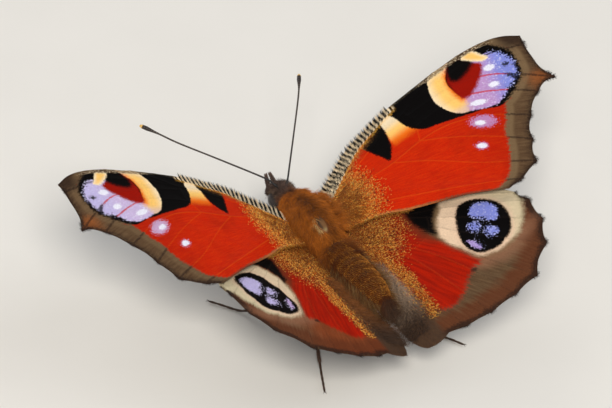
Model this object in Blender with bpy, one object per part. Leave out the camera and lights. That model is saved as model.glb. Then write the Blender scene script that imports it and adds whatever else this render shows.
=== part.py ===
"""Peacock butterfly (Aglais io) at life size, perched on its four walking legs with the wings spread.

Each part of the body is one named object. The sizes below are in millimetres and become metres
when a mesh is made. The design frame has its origin at the middle of the thorax, with the
butterfly's left at +X, its tail at +Y and its back at +Z. Placing turns nothing: it only lifts
the insect until its feet stand on z = 0, and centres it on the origin from front to back.
"""
import math

import bpy
import bmesh
import numpy as np
from mathutils import Vector
from mathutils.geometry import delaunay_2d_cdt

MM = 0.001
GAP = 0.3                        # clear space kept where one part meets another
ROOT_LENGTH = 0.25               # a limb or feeler leaves the body square to it for this far
LEFT, RIGHT = 1, -1              # the sides, as the sign of X
SIDE_NAMES = {LEFT: "left", RIGHT: "right"}

# Stance: the thorax's middle stands this high over the floor and this far behind the origin.
THORAX_HEIGHT = 8.7
THORAX_BEHIND_ORIGIN = -2.123
FLOOR = -THORAX_HEIGHT           # the floor in the design frame

# Body, as oval sections: y, z of the middle, half width, half height.
THORAX_SECTIONS = (
    (-4.6, 0.15, 1.55, 1.65), (-4.0, 0.08, 2.00, 2.00), (-2.3, -0.10, 2.60, 2.50), (0.0, -0.05, 2.98, 2.88),
    (2.2, -0.32, 2.75, 2.70), (4.0, -0.70, 2.20, 2.25), (5.0, -1.00, 1.75, 1.80))
HEAD_REAR = THORAX_SECTIONS[0][0] - GAP
ABDOMEN_FRONT = THORAX_SECTIONS[-1][0] + GAP
ABDOMEN_SECTIONS = tuple((ABDOMEN_FRONT + back, *oval) for back, *oval in (
    (0.0, -1.05, 1.65, 1.70), (1.7, -1.20, 1.85, 1.85), (4.7, -1.20, 1.95, 1.90), (7.7, -1.30, 1.70, 1.65),
    (9.7, -1.50, 1.20, 1.20), (11.0, -1.60, 0.75, 0.75), (11.6, -1.65, 0.35, 0.35)))
HEAD_SECTIONS = tuple((HEAD_REAR - ahead, *oval) for ahead, *oval in (
    (0.0, -0.40, 1.12, 1.25), (0.45, -0.50, 1.32, 1.48), (1.0, -0.55, 1.36, 1.58), (1.75, -0.58, 1.20, 1.42),
    (2.35, -0.62, 0.82, 1.05), (2.65, -0.65, 0.40, 0.55)))
ABDOMEN_RINGS = 8                # segments, each a little fuller at its middle
ABDOMEN_SWELL = 0.05             # share of the radius between a ring's middle and its seam
BODY_SIDES = 24
THORAX_LOFT, HEAD_LOFT, ABDOMEN_LOFT = 16, 10, 4 * ABDOMEN_RINGS

# Eyes: domes on the flat sides of the head.
EYE_CENTRE = (0.62, HEAD_REAR - 1.0, -0.80)
EYE_HALF_AXES = (0.98, 1.10, 1.22)
EYE_SEGMENTS, EYE_RINGS = 20, 12
EYE_FLAT = 1.06                  # x of the eye's inner face
HEAD_FLAT = EYE_FLAT - GAP       # x of the head's flat side

# Feelers and mouth parts: points of a smooth path, from the root out, and the radius at each.
ANTENNA_ROOT = (HEAD_REAR - 1.1, 64.0)   # y and angle of the root on the head, the angle up from the side
ANTENNA_PATH = ((1.00, -6.35, 1.28), (1.62, -7.13, 1.74), (4.97, -11.49, 2.66), (7.90, -15.33, 3.40),
                (9.25, -17.18, 3.88), (10.20, -18.65, 4.12), (10.73, -19.54, 4.24))
ANTENNA_RADII = (0.24, 0.20, 0.18, 0.17, 0.17, 0.18, 0.32, 0.18)
PALP_ROOT = (HEAD_REAR - 2.3, -10.0)
PALP_PATH = ((0.66, -7.90, -0.45), (0.46, -8.42, 0.08), (0.26, -8.95, 0.56))
PALP_RADII = (0.26, 0.32, 0.27, 0.10)
ANTENNA_STEP, PALP_STEP = 1.0, 0.25      # spacing of the rings along each
PROBOSCIS_ROOT = (HEAD_REAR - 2.6, -90.0)
PROBOSCIS_STEM = 0.45            # straight out of the head before it starts to coil
PROBOSCIS_TURNS = 1.6
PROBOSCIS_OUTER, PROBOSCIS_INNER = 0.78, 0.25
PROBOSCIS_RADII = (0.17, 0.12)
PROBOSCIS_POINTS = 14            # to a turn

# Legs: the root on the thorax, the joints in the design frame, and the radius along each length.
# A foot's sole is cut flat at the floor.
SOLE_LIFT = 0.2                  # the foot's middle line over the floor
LEGS = {
    "midleg": {"root": (0.8, -62.0), "thigh": (1.75, 0.95, -3.75), "knee": (7.0, 2.0, -2.9),
               "ankle": (8.8, 2.3, -7.9), "heel": (9.5, 1.2, FLOOR + SOLE_LIFT),
               "toe": (11.6, -1.9, FLOOR + SOLE_LIFT)},
    "hindleg": {"root": (3.0, -66.0), "thigh": (1.55, 3.90, -3.80), "knee": (5.2, 8.6, -3.7),
                "ankle": (7.2, 14.0, -7.9), "heel": (7.7, 15.2, FLOOR + SOLE_LIFT),
                "toe": (9.2, 18.2, FLOOR + SOLE_LIFT)}}
FEMUR_RADII = (0.40, 0.46, 0.42, 0.30)
TIBIA_RADII = (0.30, 0.28, 0.26)
TARSUS_RADII = (0.26, 0.28, 0.25)
LEG_STEP = 1.0                   # spacing of the rings along a leg
FORELEG_ROOT = (-3.2, -62.0)
FORELEG_PATH = ((1.15, -4.00, -3.30), (1.15, -5.30, -3.20), (0.90, -6.30, -2.75))
FORELEG_RADII = (0.32, 0.36, 0.30, 0.14)
FORELEG_STEP = 0.6

# Wings. Points on a wing are (span, chord): out from the hinge, and back from it.
MEMBRANE = 0.5                   # thickness
RIDGE_TOP, RIDGE_UNDER = 0.16, 0.10
RIDGE_HALF_WIDTH = 0.38
RIDGE_AT_MARGIN = 0.35           # share of a vein's height left at its end
VEIN_STEP = 1.7
VEIN_CLEAR = 0.12                # a vein ends this far from the edge, and joins one that runs this close
EDGE_STEP = 1.6                  # spacing of the points along the front and hind edges
SCALLOP_STEP = 0.7               # and along the scalloped margin
ROOT_POINTS = 5
ROOT_CORRECTIONS, ROOT_CORRECTION = 12, 0.8   # how often the root's place is mended, and by what share
SUPPORT_STEP = 2.4               # spacing of the points between the veins
RIDGE_CLEAR, SUPPORT_CLEAR = 0.3, 0.9         # clear space round a point beside a vein, or between veins

FOREWING_LENGTH = 30.8
FOREWING_ARCH = 1.07             # rise of the middle of the span over its ends
FOREWING_WASHOUT = 0.009         # twist, in mm of fall for each mm out and back
FOREWING_TRAIL_LIFT = 0.35       # the hind edge is bent up, clear of the hindwing
FOREWING_TRAIL_LINE = (0.62, 1.2)     # the bend starts along chord = slope x span + offset
FOREWING_TRAIL_WIDTH = 3.0
HINDWING_TUCK = 0.9              # how far the hindwing's front dips under the forewing
HINDWING_COVER_LINE = (0.663, -3.3)   # the forewing's hind edge over it, as chord = slope x span + offset
HINDWING_TUCK_WIDTH = (3.0, 3.5)      # the dip starts this far behind that line, and is full this far on
BEND_SPAN = {"forewing": (4.0, 8.0), "hindwing": (6.0, 8.0)}   # where each bend sets in, and over what span
TWIST_CENTRE = 0.52              # share of the span that the twist leaves level

FOREWING = {
    "hinge": (3.39, -2.80, 0.80), "dihedral": 20.5, "pitch": 11.4, "root": (0.0, 5.3),
    "costa": ((1.9, -1.2), (3.6, -2.0), (5.8, -2.8), (8.7, -3.4), (12.0, -3.9), (15.0, -4.1), (19.4, -4.4),
              (23.6, -4.4), (27.2, -3.7), (29.5, -2.4)),
    "margin": (((28.8, 0.6), 0.10), ((29.4, 4.2), 0.35), ((26.6, 4.8), 0.45), ((24.1, 6.9), 0.30),
               ((22.3, 9.7), 0.35), ((20.9, 12.4), 0.30), ((17.9, 13.6), 0.15), ((16.0, 13.9), 0.05)),
    "trail": ((12.0, 11.8), (9.0, 10.3), (6.0, 8.7), (3.0, 7.0)),
    "veins": (
        ((0.0, 1.0), (4.0, -1.0), (9.0, -2.5), (15.0, -3.9)),
        ((0.0, 2.1), (5.0, 0.0), (9.5, -1.4), (12.9, -2.1), (17.0, -2.9), (21.5, -3.0), (26.0, -3.9)),
        ((12.9, -2.1), (15.5, -3.2), (18.6, -4.35)),
        ((17.0, -2.9), (19.5, -3.6), (22.0, -4.4)),
        ((21.5, -3.0), (25.0, -2.5), (29.2, -1.2)),
        ((12.9, -1.5), (17.5, -1.4), (22.4, -0.6), (25.3, 1.0), (29.2, 4.1)),
        ((12.9, 0.4), (16.5, 0.1), (20.3, 0.7), (23.8, 2.5), (26.5, 4.7)),
        ((0.0, 2.9), (4.5, 2.5), (8.1, 2.6), (12.1, 2.2), (16.0, 2.5), (20.0, 4.1), (24.0, 6.8)),
        ((12.1, 2.2), (15.0, 4.0), (18.2, 6.3), (22.2, 9.6)),
        ((8.1, 2.6), (10.5, 4.4), (12.5, 6.1), (16.0, 9.2), (20.8, 12.3)),
        ((12.9, -2.1), (13.1, -0.6), (12.9, 0.4), (12.1, 2.2)),
        ((0.2, 3.9), (5.0, 6.4), (11.0, 9.9), (17.8, 13.4)))}
HINDWING = {
    "hinge": (2.60, 2.50, -1.50), "dihedral": 22.9, "pitch": 3.6, "root": (0.0, 3.0),
    "costa": ((2.0, -1.5), (5.0, -1.9), (9.0, -0.4), (13.5, 3.2), (16.6, 6.4), (17.9, 8.8)),
    "margin": (((18.4, 11.3), 0.15), ((17.9, 14.6), 0.20), ((16.2, 17.7), 0.25), ((12.8, 20.7), 0.45),
               ((9.6, 21.1), 0.30), ((6.2, 21.4), 0.25), ((3.0, 20.9), 0.20), ((1.0, 19.9), 0.05),
               ((-1.2, 19.9), -0.35), ((-2.0, 18.0), -0.10)),
    "trail": ((-1.8, 15.5), (-1.2, 12.5), (-0.55, 9.0), (-0.3, 6.0)),
    "veins": (
        ((0.2, 0.5), (3.0, -0.4), (7.0, 0.4), (12.5, 4.1), (17.7, 8.8)),
        ((1.4, 1.0), (5.0, 2.0), (9.5, 4.4), (14.0, 7.6), (18.2, 11.3)),
        ((6.0, 2.5), (8.5, 5.0), (12.8, 9.2), (17.7, 14.5)),
        ((8.0, 6.1), (11.5, 11.5), (16.0, 17.5)),
        ((6.9, 7.2), (9.3, 13.0), (12.7, 20.5)),
        ((0.2, 1.6), (2.2, 4.6), (5.0, 7.6), (7.6, 13.7), (9.5, 20.9)),
        ((3.5, 6.1), (4.9, 13.0), (6.1, 21.2)),
        ((5.0, 7.6), (6.9, 7.2), (8.0, 6.1), (8.5, 5.0)),
        ((0.2, 2.4), (1.3, 9.0), (2.4, 15.5), (2.9, 20.7)))}

# Colours of the parts (linear RGB), with roughness.
FINISHES = {
    "fur": ((0.19, 0.07, 0.02), 0.9), "wing": ((0.55, 0.05, 0.02), 0.75), "eye": ((0.03, 0.02, 0.015), 0.25),
    "feeler": ((0.03, 0.02, 0.015), 0.6), "leg": ((0.05, 0.03, 0.02), 0.65)}


def clear_scene():
    """Remove every object that the file starts with."""
    for item in list(bpy.data.objects):
        bpy.data.objects.remove(item, do_unlink=True)


def make_material(name):
    """Principled material for one kind of surface."""
    colour, roughness = FINISHES[name]
    material = bpy.data.materials.new(name)
    material.use_nodes = True
    shader = material.node_tree.nodes["Principled BSDF"]
    shader.inputs["Base Color"].default_value = (*colour, 1.0)
    shader.inputs["Roughness"].default_value = roughness
    shader.inputs["Metallic"].default_value = 0.0
    return material


def design_to_world(point):
    """Metres in the world from millimetres in the design frame."""
    x, y, z = point
    return Vector((x * MM, (y + THORAX_BEHIND_ORIGIN) * MM, (z + THORAX_HEIGHT) * MM))


def mirrored(point, side):
    """The point on the butterfly's left, or its twin on the right."""
    return (point[0] * side, point[1], point[2])


def smooth_path(points, step):
    """Catmull-Rom curve through the points, sampled about every step millimetres."""
    pts = [np.array(p, dtype=float) for p in points]
    pts = [2 * pts[0] - pts[1]] + pts + [2 * pts[-1] - pts[-2]]
    result = []
    for before, start, end, after in zip(pts, pts[1:], pts[2:], pts[3:]):
        count = max(1, round(float(np.linalg.norm(end - start)) / step))
        for k in range(count):
            t = k / count
            squared = (2 * before - 5 * start + 4 * end - after) * t**2
            cubed = (3 * start - before - 3 * end + after) * t**3
            result.append(0.5 * (2 * start + (end - before) * t + squared + cubed))
    result.append(pts[-2])
    return result


def smoothstep(value):
    """0 below 0, 1 above 1, and an even S between."""
    t = min(1.0, max(0.0, value))
    return t * t * (3 - 2 * t)


def blend_sections(sections, y):
    """Middle height, half width and half height of an oval body at y, smooth between its sections."""
    table = np.array(sections)
    slopes = np.gradient(table[:, 1:], table[:, 0], axis=0)
    y = min(max(y, table[:, 0].min()), table[:, 0].max())
    order = np.argsort(table[:, 0])
    table, slopes = table[order], slopes[order]
    k = min(int(np.searchsorted(table[:, 0], y, side="right")) - 1, len(table) - 2)
    width = table[k + 1, 0] - table[k, 0]
    t = (y - table[k, 0]) / width
    return ((1 + 2 * t) * (1 - t)**2 * table[k, 1:] + t * (1 - t)**2 * width * slopes[k]
            + t * t * (3 - 2 * t) * table[k + 1, 1:] + t * t * (t - 1) * width * slopes[k + 1])


def surface_spot(sections, root):
    """Point GAP off an oval body at a root's y and angle, and one a little further out along the normal."""
    y, degrees = root
    angle = math.radians(degrees)

    def spot(at, turn):
        middle, half_width, half_height = blend_sections(sections, at)
        return np.array((half_width * math.cos(turn), at, middle + half_height * math.sin(turn)))

    reach = 0.01
    along = spot(y + reach, angle) - spot(y - reach, angle)
    around = spot(y, angle + reach) - spot(y, angle - reach)
    normal = np.cross(along, around)
    normal /= np.linalg.norm(normal)
    normal *= 1 if normal @ (spot(y, angle) - spot(y, angle + math.pi)) > 0 else -1
    return tuple(spot(y, angle) + normal * GAP), tuple(spot(y, angle) + normal * (GAP + ROOT_LENGTH))


def add_object(name, mesh, material, collection):
    """Object for a finished mesh, with flat caps kept crisp and round sides smooth."""
    mesh.materials.append(material)
    mesh.shade_smooth()
    mesh.set_sharp_from_angle(angle=math.radians(40))
    item = bpy.data.objects.new(name, mesh)
    collection.objects.link(item)
    return item


def mesh_from_bmesh(name, shape):
    """Mesh from a bmesh, with its faces turned outwards."""
    bmesh.ops.recalc_face_normals(shape, faces=shape.faces[:])
    mesh = bpy.data.meshes.new(name)
    shape.to_mesh(mesh)
    shape.free()
    return mesh


def cut_flat(shape, point, normal):
    """Cut a bmesh at a plane, drop what lies past it along the normal and close the cut."""
    geometry = shape.verts[:] + shape.edges[:] + shape.faces[:]
    bmesh.ops.bisect_plane(shape, geom=geometry, plane_co=point, plane_no=normal, clear_outer=True)
    rim = [edge for edge in shape.edges if edge.is_boundary]
    bmesh.ops.holes_fill(shape, edges=rim, sides=0)


def oval_body(sections, rings, swell=0.0, segments=0):
    """Loft of oval rings along Y, closed by flat faces at both ends, as a bmesh."""
    ends = (sections[0][0], sections[-1][0])
    shape = bmesh.new()
    loops = []
    for k in range(rings + 1):
        y = ends[0] + (ends[1] - ends[0]) * k / rings
        z, half_width, half_height = blend_sections(sections, y)
        fuller = 1 + swell * (abs(math.sin(math.pi * segments * k / rings)) - 0.5)
        loops.append([shape.verts.new(design_to_world((
            half_width * fuller * math.cos(a), y, z + half_height * fuller * math.sin(a))))
            for a in (math.tau * j / BODY_SIDES for j in range(BODY_SIDES))])
    for near, far in zip(loops, loops[1:]):
        for j in range(BODY_SIDES):
            shape.faces.new((near[j], near[(j + 1) % BODY_SIDES], far[(j + 1) % BODY_SIDES], far[j]))
    shape.faces.new(loops[0])
    shape.faces.new(loops[-1])
    return shape


def tube_mesh(name, path, radii, step):
    """Closed tube along a smooth path whose radius runs through the given ones."""
    spots = smooth_path([(*point, radius) for point, radius in zip(path, radii)], step)
    curve = bpy.data.curves.new(name, "CURVE")
    curve.dimensions = "3D"
    curve.bevel_depth = MM
    curve.bevel_resolution = 2
    curve.use_fill_caps = True
    spline = curve.splines.new("POLY")
    spline.points.add(len(spots) - 1)
    for target, (x, y, z, radius) in zip(spline.points, spots):
        target.co = (*design_to_world((x, y, z)), 1.0)
        target.radius = radius
    holder = bpy.data.objects.new(name, curve)
    bpy.context.scene.collection.objects.link(holder)
    evaluated = holder.evaluated_get(bpy.context.evaluated_depsgraph_get())
    mesh = bpy.data.meshes.new_from_object(evaluated)
    bpy.data.objects.remove(holder, do_unlink=True)
    bpy.data.curves.remove(curve)
    shape = bmesh.new()
    shape.from_mesh(mesh)
    bpy.data.meshes.remove(mesh)
    bmesh.ops.remove_doubles(shape, verts=shape.verts[:], dist=1e-6)
    return shape


def make_eye(side, material, collection):
    """Dome of a compound eye, with a flat inner face beside the head."""
    shape = bmesh.new()
    bmesh.ops.create_uvsphere(shape, u_segments=EYE_SEGMENTS, v_segments=EYE_RINGS, radius=1.0)
    bmesh.ops.scale(shape, vec=[half * MM for half in EYE_HALF_AXES], verts=shape.verts[:])
    bmesh.ops.translate(shape, vec=design_to_world(mirrored(EYE_CENTRE, side)), verts=shape.verts[:])
    cut_flat(shape, design_to_world(mirrored((EYE_FLAT, 0, 0), side)), (-side, 0, 0))
    name = f"eye_{SIDE_NAMES[side]}"
    add_object(name, mesh_from_bmesh(name, shape), material, collection)


def make_body(materials, collection):
    """Thorax, abdomen and head, end to end, with the head's sides cut flat for the eyes."""
    thorax = oval_body(THORAX_SECTIONS, THORAX_LOFT)
    add_object("thorax", mesh_from_bmesh("thorax", thorax), materials["fur"], collection)
    abdomen = oval_body(ABDOMEN_SECTIONS, ABDOMEN_LOFT, swell=ABDOMEN_SWELL, segments=ABDOMEN_RINGS)
    add_object("abdomen", mesh_from_bmesh("abdomen", abdomen), materials["fur"], collection)
    head = oval_body(HEAD_SECTIONS, HEAD_LOFT)
    for side in (LEFT, RIGHT):
        cut_flat(head, design_to_world(mirrored((HEAD_FLAT, 0, 0), side)), (side, 0, 0))
    add_object("head", mesh_from_bmesh("head", head), materials["fur"], collection)


def make_tube(name, path, radii, side, step, material, collection, sole=False):
    """Feeler, palp or length of leg on one side, with a flat sole where it stands on the floor."""
    shape = tube_mesh(name, [mirrored(point, side) for point in path], radii, step)
    if sole:
        cut_flat(shape, design_to_world((0, 0, FLOOR)), (0, 0, -1))
    add_object(name, mesh_from_bmesh(name, shape), material, collection)


def shortened(start, end, at_start, at_end):
    """The two ends of a straight length, drawn in from its joints."""
    a, b = np.array(start, dtype=float), np.array(end, dtype=float)
    along = (b - a) / np.linalg.norm(b - a)
    return a + along * at_start, b - along * at_end


def make_leg(kind, side, material, collection):
    """Femur, tibia and tarsus of one walking leg, with a gap at each joint."""
    joints = LEGS[kind]
    name = f"{kind}_{SIDE_NAMES[side]}"
    half_gap = GAP / 2
    hip, below = surface_spot(THORAX_SECTIONS, joints["root"])
    thigh, knee = shortened(joints["thigh"], joints["knee"], 0.0, half_gap + TIBIA_RADII[0] / 2)
    make_tube(f"{name}_femur", (hip, below, thigh, knee), FEMUR_RADII, side, LEG_STEP, material, collection)
    top, bottom = shortened(joints["knee"], joints["ankle"], half_gap + FEMUR_RADII[-1] / 2, half_gap)
    middle = (top + bottom) / 2
    make_tube(f"{name}_tibia", (top, middle, bottom), TIBIA_RADII, side, 2 * LEG_STEP, material, collection)
    ankle, _ = shortened(joints["ankle"], joints["heel"], half_gap, 0.0)
    foot = (ankle, joints["heel"], joints["toe"])
    make_tube(f"{name}_tarsus", foot, TARSUS_RADII, side, LEG_STEP, material, collection, sole=True)


def make_proboscis(material, collection):
    """Coiled sucking tube under the face: a spiral in the plane between the palps."""
    spot, further = surface_spot(HEAD_SECTIONS, PROBOSCIS_ROOT)
    out = (np.array(further) - spot) / ROOT_LENGTH
    stem = spot + out * PROBOSCIS_STEM
    first = math.atan2(-out[1], out[2])
    centre = stem - PROBOSCIS_OUTER * np.array((0.0, math.cos(first), math.sin(first)))
    path = [spot]
    for t in np.linspace(0.0, 1.0, round(PROBOSCIS_TURNS * PROBOSCIS_POINTS) + 1):
        radius = PROBOSCIS_OUTER + (PROBOSCIS_INNER - PROBOSCIS_OUTER) * t
        angle = first + math.tau * PROBOSCIS_TURNS * t
        path.append(centre + radius * np.array((0.0, math.cos(angle), math.sin(angle))))
    radii = np.linspace(*PROBOSCIS_RADII, len(path))
    make_tube("proboscis", path, radii, LEFT, PROBOSCIS_OUTER, material, collection)


def forewing_height(span, chord):
    """Height of the forewing's middle surface over its plane."""
    share = span / FOREWING_LENGTH
    arch = FOREWING_ARCH * 4 * share * (1 - share)
    twist = -FOREWING_WASHOUT * (span - TWIST_CENTRE * FOREWING_LENGTH) * chord
    slope, offset = FOREWING_TRAIL_LINE
    start, width = BEND_SPAN["forewing"]
    trail = smoothstep((chord - slope * span - offset) / FOREWING_TRAIL_WIDTH)
    return arch + twist + FOREWING_TRAIL_LIFT * trail * smoothstep((span - start) / width)


def hindwing_height(span, chord):
    """Height of the hindwing's middle surface over its plane: it dips where the forewing covers it."""
    slope, offset = HINDWING_COVER_LINE
    start, width = BEND_SPAN["hindwing"]
    edge, reach = HINDWING_TUCK_WIDTH
    covered = smoothstep((edge - (chord - slope * span - offset)) / reach)
    return -HINDWING_TUCK * covered * smoothstep((span - start) / width)


def wing_axes(form):
    """Unit directions of the left wing: out along the span, back along the chord, and up from it."""
    dihedral, pitch = math.radians(form["dihedral"]), math.radians(form["pitch"])
    out = np.array((math.cos(dihedral), 0.0, math.sin(dihedral)))
    level = np.array((-math.sin(dihedral), 0.0, math.cos(dihedral)))
    up = level * math.cos(pitch) + np.array((0.0, math.sin(pitch), 0.0))
    return out, np.cross(up, out), up


def wing_point(form, height, span, chord, lift=0.0):
    """Design-frame point of the left wing at (span, chord), raised from the middle surface by lift."""
    out, back, up = wing_axes(form)
    return np.array(form["hinge"]) + span * out + chord * back + (height(span, chord) + lift) * up


def body_side(y, z):
    """Half width of the thorax or abdomen at a point beside it."""
    sections = THORAX_SECTIONS if y < THORAX_SECTIONS[-1][0] else ABDOMEN_SECTIONS
    middle, half_width, half_height = blend_sections(sections, y)
    across = 1 - ((z - middle) / half_height)**2
    return half_width * math.sqrt(max(0.0, across))


def root_span(form, height, chord):
    """Span at which the wing's root stands GAP clear of the thorax, found by a few corrections."""
    span = 0.0
    for _ in range(ROOT_CORRECTIONS):
        upper = wing_point(form, height, span, chord, MEMBRANE / 2)
        lower = wing_point(form, height, span, chord, -MEMBRANE / 2)
        widest = max(body_side(upper[1], upper[2]) - upper[0], body_side(lower[1], lower[2]) - lower[0])
        span += (widest + GAP) * ROOT_CORRECTION
    return span


def scalloped(start, end, depth):
    """Edge from one vein's end to the next, drawn in between them by a half sine."""
    a, b = np.array(start, dtype=float), np.array(end, dtype=float)
    count = max(2, round(float(np.linalg.norm(b - a)) / SCALLOP_STEP))
    inward = np.array((-(b - a)[1], (b - a)[0])) / np.linalg.norm(b - a)
    return [a + (b - a) * k / count + inward * depth * math.sin(math.pi * k / count) for k in range(count)]


def wing_outline(form, height):
    """Closed outline of a wing: root, front edge, scalloped outer margin, hind edge."""
    front, rear = form["root"]
    root = [(root_span(form, height, chord), chord) for chord in np.linspace(rear, front, ROOT_POINTS)]
    outline = [np.array(point) for point in root]
    outline += smooth_path([root[-1], *form["costa"]], EDGE_STEP)[1:-1]
    corner = form["costa"][-1]
    for tooth, depth in form["margin"]:
        outline += scalloped(corner, tooth, depth)
        corner = tooth
    outline += smooth_path([corner, *form["trail"], root[0]], EDGE_STEP)[:-1]
    return outline


def inside(outline, point, clear):
    """Whether a point lies inside the outline and at least clear from it."""
    a = np.array(outline)
    b = np.roll(a, -1, axis=0)
    crosses = (a[:, 1] > point[1]) != (b[:, 1] > point[1])
    with np.errstate(divide="ignore", invalid="ignore"):
        at = a[:, 0] + (point[1] - a[:, 1]) * (b[:, 0] - a[:, 0]) / (b[:, 1] - a[:, 1])
    odd = np.count_nonzero(crosses & (point[0] < at)) % 2 == 1
    return odd and distance_to_path(point, np.vstack((a, a[:1])))[0] > clear


def distance_to_path(point, path):
    """Distance from a point to a polyline, and how far along it the nearest spot is, 0 to 1."""
    a, b = np.array(path[:-1]), np.array(path[1:])
    edge = b - a
    t = np.clip(np.einsum("ij,ij->i", point - a, edge) / np.einsum("ij,ij->i", edge, edge), 0, 1)
    gaps = np.linalg.norm(a + edge * t[:, None] - point, axis=1)
    k = int(np.argmin(gaps))
    return float(gaps[k]), (k + float(t[k])) / len(a)


def ridge_at(veins, point):
    """Height share of the vein ridges at a point: a roof along each vein, lower towards its end."""
    best = 0.0
    for vein in veins:
        gap, along = distance_to_path(point, vein)
        best = max(best, (1 - gap / RIDGE_HALF_WIDTH) * (1 + (RIDGE_AT_MARGIN - 1) * along))
    return best


def wing_plan(form, height):
    """Flat points of the wing, the triangles over them and the vein lines, in (span, chord)."""
    outline = wing_outline(form, height)
    veins = [smooth_path(vein, VEIN_STEP) for vein in form["veins"]]
    veins = [[p for p in vein if inside(outline, p, VEIN_CLEAR)] for vein in veins]
    points = list(outline)
    edges = [(k, (k + 1) % len(outline)) for k in range(len(outline))]
    for vein in veins:
        first = None
        for spot in vein:
            near = [k for k, p in enumerate(points) if np.linalg.norm(p - spot) < VEIN_CLEAR]
            index = near[0] if near else len(points)
            if not near:
                points.append(spot)
            if first is not None and first != index:
                edges.append((first, index))
            first = index
    for vein in veins:
        path = np.array(vein)
        along = np.gradient(path, axis=0)
        aside = np.stack((-along[:, 1], along[:, 0]), 1) / np.linalg.norm(along, axis=1)[:, None]
        for spot, direction in zip(path, aside):
            for sign in (1, -1):
                place_between(points, outline, veins, spot + sign * RIDGE_HALF_WIDTH * direction, RIDGE_CLEAR)
    low, high = np.min(outline, axis=0), np.max(outline, axis=0)
    for row, chord in enumerate(np.arange(low[1], high[1], SUPPORT_STEP * math.sin(math.radians(60)))):
        for span in np.arange(low[0] + SUPPORT_STEP / 2 * (row % 2), high[0], SUPPORT_STEP):
            place_between(points, outline, veins, np.array((span, chord)), SUPPORT_CLEAR)
    flat = delaunay_2d_cdt([Vector(p) for p in points], edges, [], 1, 1e-5)
    return [np.array(p) for p in flat[0]], flat[2], veins


def place_between(points, outline, veins, spot, clear):
    """Add a point that keeps clear of the margin, of the veins and of every other point."""
    if not inside(outline, spot, clear):
        return
    if min(distance_to_path(spot, vein)[0] for vein in veins) < min(clear, RIDGE_HALF_WIDTH):
        return
    if min(float(np.linalg.norm(p - spot)) for p in points) >= clear:
        points.append(spot)


def make_wing(kind, form, height, side, material, collection):
    """Membrane with its veins raised in both faces, which share one triangulation."""
    flat, triangles, veins = wing_plan(form, height)
    shape = bmesh.new()
    faces = {}
    for label, thickness, ridge in (("top", MEMBRANE / 2, RIDGE_TOP), ("under", -MEMBRANE / 2, -RIDGE_UNDER)):
        lifts = [thickness + ridge * max(0.0, ridge_at(veins, p)) for p in flat]
        spots = [wing_point(form, height, *p, lift) for p, lift in zip(flat, lifts)]
        faces[label] = [shape.verts.new(design_to_world(mirrored(spot, side))) for spot in spots]
    rim = {}
    for a, b, c in triangles:
        shape.faces.new([faces["top"][k] for k in (a, b, c)])
        shape.faces.new([faces["under"][k] for k in (c, b, a)])
        for start, end in ((a, b), (b, c), (c, a)):
            if (end, start) in rim:
                del rim[(end, start)]
            else:
                rim[(start, end)] = True
    for start, end in rim:
        top, under = faces["top"], faces["under"]
        shape.faces.new((top[start], under[start], under[end]))
        shape.faces.new((top[start], under[end], top[end]))
    name = f"{kind}_{SIDE_NAMES[side]}"
    add_object(name, mesh_from_bmesh(name, shape), material, collection)


def main():
    """Build the butterfly part by part."""
    clear_scene()
    collection = bpy.data.collections.new("peacock_butterfly")
    bpy.context.scene.collection.children.link(collection)
    materials = {name: make_material(name) for name in FINISHES}
    make_body(materials, collection)
    make_proboscis(materials["feeler"], collection)
    for side in (LEFT, RIGHT):
        word = SIDE_NAMES[side]
        make_eye(side, materials["eye"], collection)
        for name, sections, root, path, radii, step, finish in (
                ("antenna", HEAD_SECTIONS, ANTENNA_ROOT, ANTENNA_PATH, ANTENNA_RADII, ANTENNA_STEP, "feeler"),
                ("palp", HEAD_SECTIONS, PALP_ROOT, PALP_PATH, PALP_RADII, PALP_STEP, "fur"),
                ("foreleg", THORAX_SECTIONS, FORELEG_ROOT, FORELEG_PATH, FORELEG_RADII, FORELEG_STEP, "leg")):
            start, _ = surface_spot(sections, root)
            make_tube(f"{name}_{word}", (start, *path), radii, side, step, materials[finish], collection)
        for kind in LEGS:
            make_leg(kind, side, materials["leg"], collection)
        make_wing("forewing", FOREWING, forewing_height, side, materials["wing"], collection)
        make_wing("hindwing", HINDWING, hindwing_height, side, materials["wing"], collection)


main()
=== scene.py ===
"""Peacock butterfly at life size: every visible surface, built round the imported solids.

Lengths in this file are millimetres and become metres when a mesh is made. The design frame has its
origin at the middle of the thorax, with the butterfly's left at +X, its tail at +Y and its back at +Z.
A place on a wing is (span, chord): out from the wing's hinge, and back from it. A marking's measure is
positive inside the marking and says how many millimetres its edge is away.
"""

import logging
import math
from dataclasses import dataclass, field, replace
from enum import Enum

import bpy
import numpy as np
from mathutils import Matrix, Vector


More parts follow.
